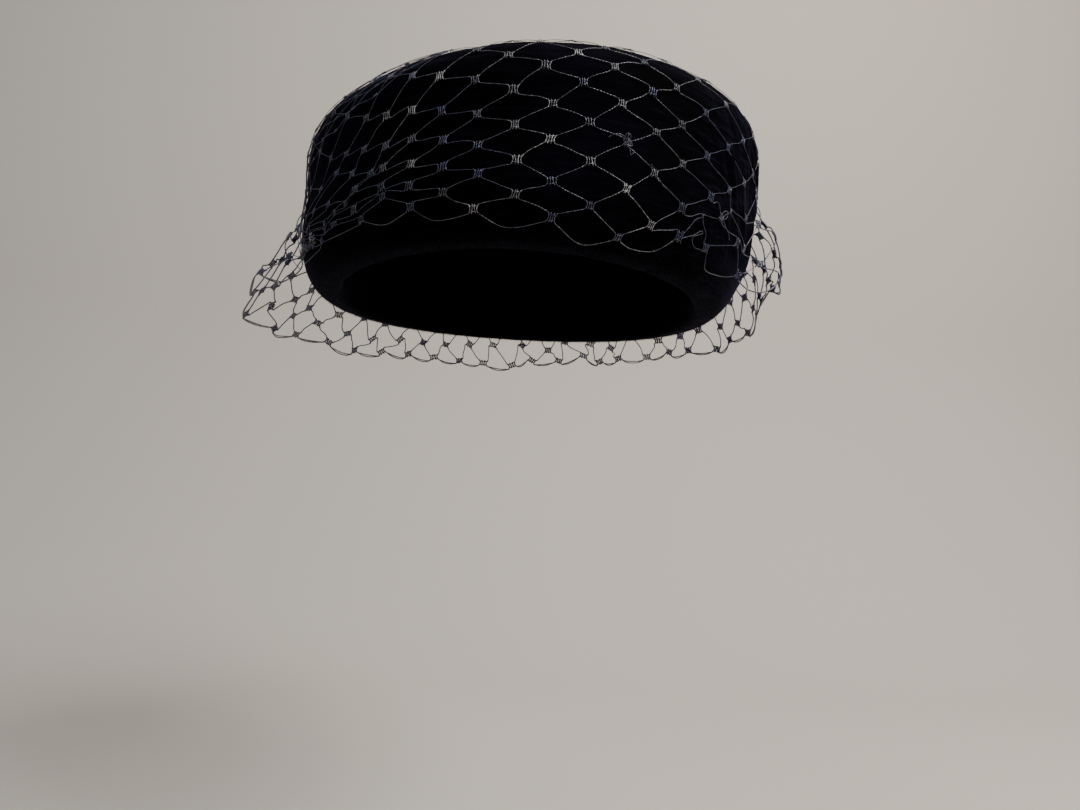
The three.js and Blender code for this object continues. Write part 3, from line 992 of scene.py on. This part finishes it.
# %% Route of the fold
FOLD_ROUTE = [  # azimuth in degrees, length from the tip's centre in mm, how far it is spread from 0 to 10
    (-67, 146, 2), (-70.5, 134, 3.5), (-68.5, 122, 6), (-62.5, 115.5, 9), (-54, 113.5, 10),
    (-45, 113, 10), (-36, 112, 8.5), (-28, 110, 5),
]
FOLD_KNOT = (-2, -2)            # column and row of the knot in which the fold ends
FOLD_END_SPREAD = 0.4
FOLD_SPACING = 0.23             # mm between the threads for each unit of spread
FOLD_RADIUS = 95                # mm, about how far the fold is from the crown's axis
last_knot = number_of[FOLD_KNOT]
fold_end = (math.degrees(knot_azimuth[last_knot]), knot_length[last_knot] / MM, FOLD_END_SPREAD)
fold_route = smooth_line(np.array([(math.radians(degrees) * FOLD_RADIUS, length, spread)
                                   for degrees, length, spread in (*FOLD_ROUTE, fold_end)]), ROUTE_STEPS)
fold_length = running_length(fold_route[:, :2])
print("the fold is", round(fold_length[-1]), "mm long")


def on_fold(along, aside, lift):
    """Points of the fold: mm along it, places beside its middle counted in threads, and mm off the net."""
    x, y, spread = (np.interp(along, fold_length, fold_route[:, k]) for k in range(3))
    ahead = [np.interp(along + 1, fold_length, fold_route[:, k]) - (x, y)[k] for k in range(2)]
    reach = aside * FOLD_SPACING * spread / np.maximum(np.hypot(*ahead), 0.1)
    return net_point((x - reach * ahead[1]) / FOLD_RADIUS, (y + reach * ahead[0]) * MM, lift * MM)


# %% Threads of the fold
FOLD_THREADS = 7
FOLD_WAVE = 20.8                # mm of thread in one wave, two strands long
FOLD_SWING = 0.42               # of the space between two threads, so that waves almost touch
FOLD_POINTS = 70
FOLD_SHADE = -0.1
FLATTENED_KNOT = np.array([-0.8, 0, 0.8])       # mm along the fold
FLATTENED_THICKNESS = 3         # in threads
along_fold = np.linspace(0, fold_length[-1] - 1, FOLD_POINTS)
fold_lines, touches = [], []
for k in range(FOLD_THREADS):
    place = k - (FOLD_THREADS - 1) / 2
    side = 1 - 2 * (k % 2)
    wave = FOLD_SWING * side * np.cos(2 * np.pi * along_fold / FOLD_WAVE)
    unevenness = 0.12 * np.sin(along_fold / 3.1 + 2 * k)
    lift = 0.35 + 0.25 * np.sin(along_fold / 7 + 1.7 * k)
    fold_lines.append(on_fold(along_fold, place + wave + unevenness, lift))
    first_touch = FOLD_WAVE * (1 + (k % 2) / 2)
    for touch in np.arange(first_touch, fold_length[-1] - FOLD_WAVE / 2, FOLD_WAVE):
        touches.append(on_fold(touch + FLATTENED_KNOT, place + 0.5, 0.5))
add_threads(np.array(fold_lines), THREAD, FOLD_SHADE)
add_threads(np.array(touches), FLATTENED_THICKNESS * THREAD, FOLD_SHADE)
print("a fold of", FOLD_THREADS, "threads with", len(touches), "flattened knots")

# %% [markdown]
# ## The centre of the tip
#
# The strip's upper edge is drawn up on a thread and sewn down in the centre of the tip. Without that the
# net would end there in the open, as if cut. Two strands go from each of the highest knots to a small
# ring, and the drawing thread winds round it.

# %% Drawn-up centre
DRAWN_RADIUS = 2.8 * MM
STRAND_RING = 0.7 * DRAWN_RADIUS        # the strands end inside the windings
PAIR_ANGLE, END_SCATTER = 0.03, 0.04    # radians round the ring
BEND_SPREAD = (0.4, 1.6)        # mm that a strand stands up on its way
WINDINGS = 5
WINDING_THICKNESS = 1.2         # in threads
WINDING_RISE, WINDING_WANDER = 0.8 * MM, 0.5 * MM
highest = np.array([i for i, (u, v) in enumerate(knots) if v == TOP_ROW])
for corner in (-1, 1):
    azimuth, length = on_knot(highest, corner, -0.94)
    end = knot_azimuth[highest] + corner * PAIR_ANGLE + rng.normal(0, END_SCATTER, len(highest))
    bend = rng.uniform(*BEND_SPREAD, len(highest)) * MM
    line = []
    for t in np.linspace(0, 1, STRAND_POINTS):
        radius = length * (1 - t) + STRAND_RING * t
        height = bend * 4 * t * (1 - t) + knot_lift[highest] * (1 - t)
        line.append(net_point(azimuth * (1 - t) + end * t, radius, height))
    add_threads(np.stack(line, axis=1), THREAD)
turns = np.linspace(0, WINDINGS * 2 * np.pi, STITCH_POINTS)
winding_lift = WINDING_RISE * (1 + np.sin(0.23 * turns))
winding = net_point(turns, DRAWN_RADIUS + WINDING_WANDER * np.sin(3.3 * turns), winding_lift)
add_threads(winding[None], WINDING_THICKNESS * THREAD)
net_knots = joined("net_knots", knot_parts)
net_strands = joined("net_strands", strand_parts)

# %% [markdown]
# ## Blue knots and grey knots
#
# The net was dyed navy and has faded unevenly. Thick knots keep more dye than thin strands, and some keep
# far more than their neighbours. A material for each shade would do, but a number stored on every point
# needs only one: below zero it is bluer, above zero greyer. For the front knots a list says which is which,
# the others are drawn at random, and a strand takes half of its two knots' average. The same number also
# carries painted shade: on the left side, away from the window, and in the loose net, lit from behind, knots
# and strands are painted bluer and darker than on the crown. At the gathered place the knots are bluer still.

# %% Shade of each knot
BLUE_KNOTS = [(-6, 8), (-4, 6), (-4, 8), (-3, 7), (-3, 9), (-2, 6), (-1, 5), (-1, 7), (1, 7), (1, 9),
              (2, 8), (3, 5), (3, 9), (4, 2), (5, 7), (5, 9), (6, 2), (6, 4), (6, 6), (7, 3), (7, 5), (7, 7),
              (7, 9), (8, 2), (8, 8), (9, 5), (9, 9)]
GREY_KNOTS = [(-4, 4), (-3, 3), (-3, 5), (-2, 0), (-1, 9), (0, 0), (0, 2), (0, 4), (0, 6), (0, 8),
              (1, 1), (1, 3), (1, 5), (2, 0), (2, 4), (2, 6), (3, 1), (3, 3), (3, 7), (4, 8)]
PALEST_KNOT = (1, 5)
BLUE, GREY, PALEST = -0.15, 0.1, 0.22
SHADE_SCATTER = 0.06
LEFT_PAINTED_SHADE, FREE_PAINTED_SHADE, GATHERED_BLUER = 0.12, 0.1, 0.12        # how much bluer and darker the knots are made there; on the left side and in the free net it is painted shade
LEFT_STRANDS_PAINTED_SHADE, FREE_STRANDS_PAINTED_SHADE = 0.08, 0.06
SHADED_LEFT_SIDE = (-30, -50, -100)    # degrees: where the left side's painted shade begins, is full and ends
degrees = np.degrees(knot_azimuth)
shaded_left_side = np.clip((SHADED_LEFT_SIDE[0] - degrees) / (SHADED_LEFT_SIDE[0] - SHADED_LEFT_SIDE[1]), 0, 1) * (degrees > SHADED_LEFT_SIDE[2])
# painted shade: knots on the left side, away from the window, and in the free net, lit from behind, are made
# bluer and darker
knot_shade = rng.normal(0, SHADE_SCATTER, len(knots)) - LEFT_PAINTED_SHADE * shaded_left_side - FREE_PAINTED_SHADE * knot_free
for listed, value in ((BLUE_KNOTS, BLUE), (GREY_KNOTS, GREY), ([PALEST_KNOT], PALEST)):
    for knot in listed:
        knot_shade[number_of[knot]] = value
knot_shade -= GATHERED_BLUER * gathered ** 2
shade_on_knots = np.concatenate([np.repeat(knot_shade, len(part[0]) // len(knots)) for part in knot_parts])
strand_shade = 0.25 * (knot_shade[first] + knot_shade[second])
# painted shade on the strands of the left side and of the free net
strand_shade -= LEFT_STRANDS_PAINTED_SHADE * shaded_left_side[first] + FREE_STRANDS_PAINTED_SHADE * hanging_free
strand_shades[0] = np.repeat(strand_shade, len(strand_parts[0][0]) // len(pairs))
shade_on_strands = np.concatenate(strand_shades)
for piece, shade_values in ((net_knots, shade_on_knots), (net_strands, shade_on_strands)):
    shade = piece.data.attributes.new("shade", "FLOAT", "POINT")
    shade.data.foreach_set("value", shade_values.astype(np.float32))
print(len(BLUE_KNOTS), "knots kept blue,", len(GREY_KNOTS), "faded grey")

# %% [markdown]
# ## The velvet
#
# The crown is velvet stretched over a stiff form and turned in at the mouth. Stretching draws it into fine
# folds that run round the wall. They slope where the stitched places pull, fade out on the smooth roll
# above the rim, and become small pleats where the cloth is turned under. We model one closed skin, outside,
# facing and inside, and push the outside along its normals by stretched noise: noise that is long one way
# and short the other looks like folds.

# %% Folds of the velvet
FOLD_LONG, FOLD_SHORT = 26 * MM, 3.1 * MM
FOLD_DEPTH = 0.42 * MM
PUFF_SIZE, PUFF_DEPTH = 45 * MM, 0.6 * MM
UNDER_PLEATS, UNDER_DEPTH = 30, 0.16 * MM
SHOULDER_DEPTH = 0.3 * MM
WALL_RADIUS = 105 * MM          # about how far the wall is from the axis
RIGHT_PULL = (32, 58, 95, 130)  # degrees at which the slanting folds begin, are full, weaken and end
LEFT_PULL = (-28, -48, -95, -130)
PULL_TURN = 0.9                 # radians from the front to where each pull is measured from
RIGHT_SLOPE, LEFT_SLOPE = math.radians(-52), math.radians(38)
RIGHT_STRENGTH, LEFT_STRENGTH = 3.2, 1.6        # against the level folds
ROLL = (9 * MM, 16 * MM)        # heights between which the smooth roll turns into folds
WALL_BEGINS = (0.3, 0.42)       # these and the next are shares of the way from the tip to the mouth
PUFF_BEGINS, UNDERSIDE_BEGINS = (0.1, 0.3), (0.88, 0.97)
SHOULDER_BEGINS, SHOULDER_ENDS = (0.12, 0.3), (0.38, 0.5)


def blend_between(low, high, value):
    """0 below low, 1 above high, and a soft step between."""
    return eased((value - low) / (high - low))


def pull_at(degrees, begins, full, weakens, ends):
    """How much the folds slant there, because a stitched place pulls at them."""
    return blend_between(begins, full, degrees) * (1 - blend_between(weakens, ends, degrees))


def folds_along(round_it, height, slope, seed):
    """Noise stretched into folds, with finer ones on them, that run round the wall or slope on it."""
    along = round_it * math.cos(slope) + height * math.sin(slope)
    across = height * math.cos(slope) - round_it * math.sin(slope)
    return np.array([noise.noise((a / FOLD_LONG, c / FOLD_SHORT, seed)) +
                     0.5 * noise.noise((2 * a / FOLD_LONG, 2.1 * c / FOLD_SHORT, seed + 7))
                     for a, c in zip(along, across)])


def velvet_relief(points, azimuth, share):
    """How far each point of the outside stands out, in metres."""
    degrees = np.degrees(shortest_turn(azimuth))
    height = points[:, 2]
    right, left = pull_at(degrees, *RIGHT_PULL), pull_at(degrees, *LEFT_PULL)
    round_it = np.radians(degrees) * WALL_RADIUS
    level = folds_along(round_it, height, slope=0, seed=1.3)
    falling = folds_along(round_it - PULL_TURN * WALL_RADIUS, height, RIGHT_SLOPE, seed=4.1)
    rising = folds_along(round_it + PULL_TURN * WALL_RADIUS, height, LEFT_SLOPE, seed=8.6)
    folds = level * (1 - right) * (1 - left)
    folds += RIGHT_STRENGTH * falling * right + LEFT_STRENGTH * rising * left
    folds *= blend_between(*ROLL, height) * blend_between(*WALL_BEGINS, share)
    under = blend_between(*UNDERSIDE_BEGINS, share)
    puff = np.array([noise.noise(tuple(p / PUFF_SIZE)) for p in points])
    puff *= blend_between(*PUFF_BEGINS, share) * (1 - under)
    wander = np.array([noise.noise((math.cos(a) * 3, math.sin(a) * 3, 5.5)) for a in azimuth])
    pleats = np.sin(UNDER_PLEATS * azimuth + 9 * wander) * (0.6 + wander) * under
    shoulder = np.array([noise.noise((a * 5, s * 9, 2.2)) for a, s in zip(azimuth, share)])
    shoulder *= blend_between(*SHOULDER_BEGINS, share) * (1 - blend_between(*SHOULDER_ENDS, share))
    return FOLD_DEPTH * folds + PUFF_DEPTH * puff + UNDER_DEPTH * pleats + SHOULDER_DEPTH * shoulder


# %% Velvet crown
AROUND = 400
OUTSIDE_RINGS = 190
INSIDE_RINGS = 24
WALL = 2.5 * MM
FACING_HEIGHT, FACING_TURN = 15 * MM, 2 * MM
FACING_RINGS = 5                # rings of its turn, and as many of its height
FACING_WAVER, WAVERS = 0.35 * MM, 31    # how far the facing wavers in and out, and how often round the hat
TOP_BULGE = 0.8 * MM            # how far the rounded top of the facing stands above its height
INSIDE_ENDS = 0.955             # from this share on the facing fills the fold at the mouth
ring_azimuth = np.arange(AROUND) * 2 * np.pi / AROUND


def crown_ring(share, out):
    """A ring of the crown, moved out along its normals."""
    here = np.full(AROUND, share)
    return crown_point(ring_azimuth, here) + outward(crown_point, ring_azimuth, here, 1) * out


shares = np.linspace(0, 1, OUTSIDE_RINGS + 1)[1:]
plain = np.concatenate([crown_ring(share, 0) for share in shares])
all_azimuths, all_shares = np.tile(ring_azimuth, OUTSIDE_RINGS), np.repeat(shares, AROUND)
relief = velvet_relief(plain, all_azimuths, all_shares)
normals = outward(crown_point, all_azimuths, all_shares, 1)
outside = (plain + normals * relief[:, None]).reshape(OUTSIDE_RINGS, AROUND, 3)
print("the folds reach from", round(1000 * relief.min(), 2), "to", round(1000 * relief.max(), 2), "mm")

# %% Facing
mouth = outside[-1]
toward_axis = unit(mouth * (-1, -1, 0))
facing = []
for angle in np.linspace(0.3, math.pi / 2, FACING_RINGS):
    turned_in = toward_axis * FACING_TURN * math.sin(angle)
    facing.append(mouth + turned_in + UPRIGHT * FACING_TURN * (1 - math.cos(angle)))
for height in np.linspace(0.3, 1, FACING_RINGS) * FACING_HEIGHT:
    waver = FACING_WAVER * np.sin(WAVERS * ring_azimuth + 40 * height) * height / FACING_HEIGHT
    facing.append(mouth + toward_axis * (FACING_TURN + waver)[:, None] + UPRIGHT * height)
facing.append(mouth + toward_axis * 0.6 * FACING_TURN + UPRIGHT * (FACING_HEIGHT + TOP_BULGE))
facing.append(mouth + UPRIGHT * FACING_HEIGHT)
facing.append(mouth + UPRIGHT * (WALL + 1.5 * MM))
print("the facing stands", round(FACING_HEIGHT / MM), "mm high in the mouth")

# %% Inside and one closed skin
inner_shares = [share for share in np.linspace(0, 1, INSIDE_RINGS + 1)[1:] if share < INSIDE_ENDS][::-1]
inside = [crown_ring(share, -WALL) for share in inner_shares]
rings = [*outside, *facing, *inside]
tip = crown_point(np.zeros(1), np.zeros(1))[0]
points = np.concatenate([[tip], *rings, [tip - WALL * UPRIGHT]])
k = np.arange(AROUND)
after = (k + 1) % AROUND
faces = [np.stack([np.zeros_like(k), 1 + k, 1 + after], axis=1)]
for upper in range(1, 1 + (len(rings) - 1) * AROUND, AROUND):
    lower = upper + AROUND
    faces.append(np.stack([upper + k, lower + k, lower + after], axis=1))
    faces.append(np.stack([upper + k, lower + after, upper + after], axis=1))
lowest = 1 + (len(rings) - 1) * AROUND
faces.append(np.stack([lowest + k, np.full_like(k, len(points) - 1), lowest + after], axis=1))
faces = np.concatenate(faces)
round_and_down = np.zeros((len(points), 2))
round_and_down[1:-1, 0] = np.tile(ring_azimuth, len(rings)) / (2 * np.pi)
round_and_down[1:-1, 1] = np.repeat(np.arange(1, len(rings) + 1), AROUND) / (len(rings) + 1)
round_and_down[-1, 1] = 1
velvet_crown = joined("velvet_crown", [(points, faces, round_and_down[faces].reshape(-1, 2))])
mesh_area = sum(polygon.area for polygon in velvet_crown.data.polygons)
print("the skin measures", round(mesh_area * 1e4), "square cm, both sides")

# %% [markdown]
# ## Pile on the rim
#
# Velvet is a cloth of short upright fibres. On a wide surface they are far too many to model and only show
# as a sheen. Along the rim, where the cloth is folded sharply, the pile opens and single fibres stand
# against the light. So the rim gets real ones: thin three-sided spikes, planted at random, each leaning
# its own way. Blender's hair could grow them too, but spikes of plain triangles stay as they are in any file.

# %% Pile fibres
FIBRES = 16000
FIBRE_LENGTH = 1.1 * MM
FIBRE_RADIUS = 0.045 * MM
LENGTH_SPREAD = (0.6, 1.25)
RIM_SPREAD = 0.035              # how far from the mouth they stand, as a share of the profile
FIBRE_LEAN = 0.35
ROOT_DEPTH = 0.25 * MM
SPIKE_TURNS = (0, 2.094, 4.189) # radians to the three corners of a spike's foot
fibre_azimuth = rng.uniform(-np.pi, np.pi, FIBRES)
fibre_share = 1 - np.abs(rng.normal(0, RIM_SPREAD, FIBRES))
root = crown_point(fibre_azimuth, fibre_share)
stand = outward(crown_point, fibre_azimuth, fibre_share, 1)
grow = unit(stand + rng.normal(0, FIBRE_LEAN, (FIBRES, 3)))
root -= stand * ROOT_DEPTH
tips = root + grow * (FIBRE_LENGTH * rng.uniform(*LENGTH_SPREAD, FIBRES))[:, None]
beside = FIBRE_RADIUS * unit(np.cross(grow, rng.normal(0, 1, (FIBRES, 3))))
other = np.cross(grow, beside)
corners = [root + beside * math.cos(turn) + other * math.sin(turn) for turn in SPIKE_TURNS]
fibre_points = np.stack([*corners, tips], axis=1).reshape(-1, 3)
spike = np.array([(0, 1, 3), (1, 2, 3), (2, 0, 3), (0, 2, 1)])
fibre_faces = (spike[None] + 4 * np.arange(FIBRES)[:, None, None]).reshape(-1, 3)
velvet_fibres = joined("velvet_fibres", [(fibre_points, fibre_faces, np.zeros((fibre_faces.size, 2)))])

# %% [markdown]
# ## Velvet as a material
#
# Velvet is dark where we look down into the pile and gleams only where we look across it. The shader's sheen
# does that. The colour is a navy so deep that it is nearly black. Slow noise brushes the nap a little
# lighter and darker, fine noise breaks the light up like fibre ends, and stretched noise repeats the folds
# at a size too small to model. That stretched noise also paints faint light streaks along the folds into the
# colour: painted sheen, at 0.3 of its strength elsewhere and full on the right side, where the window's light
# grazes the wall. Inside the crown the back of the cloth shows, a plain weave: two sets of bands that cross.
# The single fibres on the rim stand in the light, so they are a little paler.

# %% Helpers for materials
def new_material(name):
    """A material with its node tree and shader."""
    made = bpy.data.materials.new(name)
    made.use_nodes = True
    return made, made.node_tree, made.node_tree.nodes["Principled BSDF"]


def add_node(tree, kind, **settings):
    """A node of a kind, with its own settings."""
    node = tree.nodes.new(kind)
    for key, value in settings.items():
        setattr(node, key, value)
    return node


def noise_node(tree, vector, scale, detail=2.0, roughness=0.5):
    """A noise texture over a coordinate."""
    node = add_node(tree, "ShaderNodeTexNoise")
    node.inputs["Scale"].default_value = scale
    node.inputs["Detail"].default_value = detail
    node.inputs["Roughness"].default_value = roughness
    tree.links.new(vector, node.inputs["Vector"])
    return node.outputs["Fac"]


def ramp_node(tree, value, stops):
    """A colour ramp from a list of places and colours."""
    node = add_node(tree, "ShaderNodeValToRGB")
    while len(node.color_ramp.elements) < len(stops):
        node.color_ramp.elements.new(0.5)
    for element, (place, colour) in zip(node.color_ramp.elements, stops):
        element.position = place
        element.color = (*colour, 1)
    tree.links.new(value, node.inputs["Fac"])
    return node.outputs["Color"]


def math_node(tree, operation, *terms):
    """The result of a calculation with sockets and plain numbers."""
    node = add_node(tree, "ShaderNodeMath", operation=operation)
    for socket, term in zip(node.inputs, terms):
        if isinstance(term, (int, float)):
            socket.default_value = term
        else:
            tree.links.new(term, socket)
    return node.outputs["Value"]


def bump_node(tree, height, depth, before=None):
    """A bump of a depth in metres, on top of the one before."""
    node = add_node(tree, "ShaderNodeBump")
    node.inputs["Distance"].default_value = depth
    tree.links.new(height, node.inputs["Height"])
    if before is not None:
        tree.links.new(before, node.inputs["Normal"])
    return node.outputs["Normal"]


def stretched(tree, vector, scale):
    """A coordinate scaled by its own amount in each direction."""
    node = add_node(tree, "ShaderNodeMapping")
    node.inputs["Scale"].default_value = scale
    tree.links.new(vector, node.inputs["Vector"])
    return node.outputs["Vector"]


# %% Velvet pile
velvet, tree, shader = new_material("velvet_pile")
place = add_node(tree, "ShaderNodeTexCoord").outputs["Object"]
nap = noise_node(tree, place, 22, 3)
ends = noise_node(tree, place, 2600, 1)
fine_folds = noise_node(tree, stretched(tree, place, (0.12, 0.12, 1)), 620, 3, 0.6)
colour = ramp_node(tree, nap, [(0.35, (0.0002, 0.0002, 0.0005)), (0.55, (0.0004, 0.0004, 0.0012)),
                               (0.7, (0.0010, 0.0008, 0.0030))])
# painted sheen: lighter streaks along the folds, painted into the velvet's colour
painted_fold_sheen = ramp_node(tree, fine_folds, [(0.5, (0, 0, 0)), (0.72, (0.005, 0.0045, 0.009))])
sideways = add_node(tree, "ShaderNodeSeparateXYZ")
tree.links.new(place, sideways.inputs["Vector"])
# painted light: the painted sheen is at 0.3 strength up to 45 mm right of the middle, full from 90 mm on,
# where the window light grazes the wall
right_side_painted_sheen = add_node(tree, "ShaderNodeMapRange", interpolation_type="SMOOTHSTEP")
for socket, value in (("From Min", 45 * MM), ("From Max", 90 * MM), ("To Min", 0.3), ("To Max", 1)):
    right_side_painted_sheen.inputs[socket].default_value = value
tree.links.new(sideways.outputs["X"], right_side_painted_sheen.inputs["Value"])
nap_and_painted_sheen = add_node(tree, "ShaderNodeMix", data_type="RGBA", blend_type="ADD")
tree.links.new(right_side_painted_sheen.outputs["Result"], nap_and_painted_sheen.inputs["Factor"])
tree.links.new(colour, nap_and_painted_sheen.inputs["A"])
tree.links.new(painted_fold_sheen, nap_and_painted_sheen.inputs["B"])
tree.links.new(nap_and_painted_sheen.outputs["Result"], shader.inputs["Base Color"])
shader.inputs["Roughness"].default_value = 0.85
shader.inputs["Specular IOR Level"].default_value = 0.015
shader.inputs["Sheen Weight"].default_value = 0.03
shader.inputs["Sheen Roughness"].default_value = 0.3
shader.inputs["Sheen Tint"].default_value = (0.4, 0.36, 0.95, 1)
folded = bump_node(tree, fine_folds, 0.35 * MM)
tree.links.new(bump_node(tree, ends, 0.12 * MM, folded), shader.inputs["Normal"])
velvet_crown.data.materials.append(velvet)
print("the velvet's material has", len(tree.nodes), "nodes")

# %% Back of the velvet
woven, tree, shader = new_material("woven_back")
place = add_node(tree, "ShaderNodeTexCoord").outputs["Object"]
crossed = []
for direction in ("X", "Z"):
    wave = add_node(tree, "ShaderNodeTexWave", wave_type="BANDS", bands_direction=direction)
    wave.inputs["Scale"].default_value = 420
    wave.inputs["Distortion"].default_value = 0.6
    tree.links.new(place, wave.inputs["Vector"])
    crossed.append(wave.outputs["Fac"])
weave = math_node(tree, "MULTIPLY", *crossed)
colour = ramp_node(tree, weave, [(0, (0.0006, 0.0006, 0.0012)), (1, (0.0035, 0.0035, 0.006))])
tree.links.new(colour, shader.inputs["Base Color"])
shader.inputs["Roughness"].default_value = 0.8
shader.inputs["Specular IOR Level"].default_value = 0.08
tree.links.new(bump_node(tree, weave, 0.25 * MM), shader.inputs["Normal"])
velvet_crown.data.materials.append(woven)
velvet_bands = len(outside) + len(facing) - 3    # the last two bands of the facing show its back
first_inside = AROUND * (1 + 2 * velvet_bands)   # the fan at the tip, then two triangles a step in each band
surface = np.zeros(len(velvet_crown.data.polygons), dtype=np.int32)
surface[first_inside:] = 1
velvet_crown.data.polygons.foreach_set("material_index", surface)
print("velvet on", int((surface == 0).sum()), "triangles, its woven back on", int(surface.sum()))

# %% Loose fibres
fibre_finish, tree, shader = new_material("fibre_ends")
place = add_node(tree, "ShaderNodeTexCoord").outputs["Object"]
colour = ramp_node(tree, noise_node(tree, place, 900, 1), [(0.4, (0.001, 0.001, 0.004)),
                                                          (0.65, (0.012, 0.010, 0.035))])
tree.links.new(colour, shader.inputs["Base Color"])
shader.inputs["Roughness"].default_value = 0.6
shader.inputs["Specular IOR Level"].default_value = 0.2
velvet_fibres.data.materials.append(fibre_finish)
print("the fibres' material has", len(tree.nodes), "nodes")

# %% [markdown]
# ## Net thread as a material
#
# The net is a smooth, stiff thread of two plies, dyed navy and faded unevenly, so some knots are bluer and
# some strands are greyer. Against a pale ground it looks dark. On the dark velvet its gloss makes it the
# brightest thing there. Glints are painted into its colour as well: fine noise makes small spots brighter and
# others darker, as painted highlights. The plies are stripes that climb round the texture map we unrolled
# before.

# %% Net thread
PLY_TURN = 2.4 * MM             # length of thread in which the plies turn once
thread, tree, shader = new_material("net_thread")
coordinates = add_node(tree, "ShaderNodeTexCoord")
patch = noise_node(tree, coordinates.outputs["Object"], 55, 2)
shade = add_node(tree, "ShaderNodeAttribute", attribute_type="GEOMETRY", attribute_name="shade")
calmer = math_node(tree, "MULTIPLY_ADD", patch, 0.6, 0.215)
shaded = math_node(tree, "ADD", calmer, shade.outputs["Fac"])
colour = ramp_node(tree, shaded,
                   [(0.36, (0.019, 0.023, 0.066)), (0.5, (0.036, 0.036, 0.062)),
                    (0.6, (0.080, 0.078, 0.092)), (0.7, (0.225, 0.223, 0.23))])
# painted highlights: fine noise paints small glints into the thread's colour, up to 2.4 times brighter, and
# darker spots between them
painted_glints = ramp_node(tree, noise_node(tree, coordinates.outputs["Object"], 800, 2),
                  [(0.38, (0.35, 0.35, 0.38)), (0.52, (1, 1, 1)), (0.66, (2.4, 2.4, 2.35))])
colour_with_painted_glints = add_node(tree, "ShaderNodeMix", data_type="RGBA", blend_type="MULTIPLY")
colour_with_painted_glints.inputs["Factor"].default_value = 1
tree.links.new(colour, colour_with_painted_glints.inputs["A"])
tree.links.new(painted_glints, colour_with_painted_glints.inputs["B"])
tree.links.new(colour_with_painted_glints.outputs["Result"], shader.inputs["Base Color"])
shader.inputs["Roughness"].default_value = 0.36
shader.inputs["Specular IOR Level"].default_value = 0.9
apart = add_node(tree, "ShaderNodeSeparateXYZ")
tree.links.new(coordinates.outputs["UV"], apart.inputs["Vector"])
climb = math_node(tree, "MULTIPLY_ADD", apart.outputs["Y"], 1 / PLY_TURN, apart.outputs["X"])
plies = math_node(tree, "SINE", math_node(tree, "MULTIPLY", climb, 4 * math.pi))
tree.links.new(bump_node(tree, plies, 0.03 * MM), shader.inputs["Normal"])
for piece in (net_knots, net_strands):
    piece.data.materials.append(thread)
print("the thread's material has", len(tree.nodes), "nodes")

# %% [markdown]
# ## What belongs to what
#
# Nothing on this hat moves by itself, so every piece rides on its one body. The velvet was cut from a
# square big enough for the crown, of which the corners fall away. The net is open: its threads cover only a
# small part of it.

# %% Bodies
for piece, slot in ((velvet_crown, "velvet"), (velvet_fibres, "velvet"),
                    (net_knots, "netting"), (net_strands, "netting")):
    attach(piece, "root")
    print(piece.name, "rides on the hat's body, in the slot", slot)
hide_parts("crown")
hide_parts("veil")
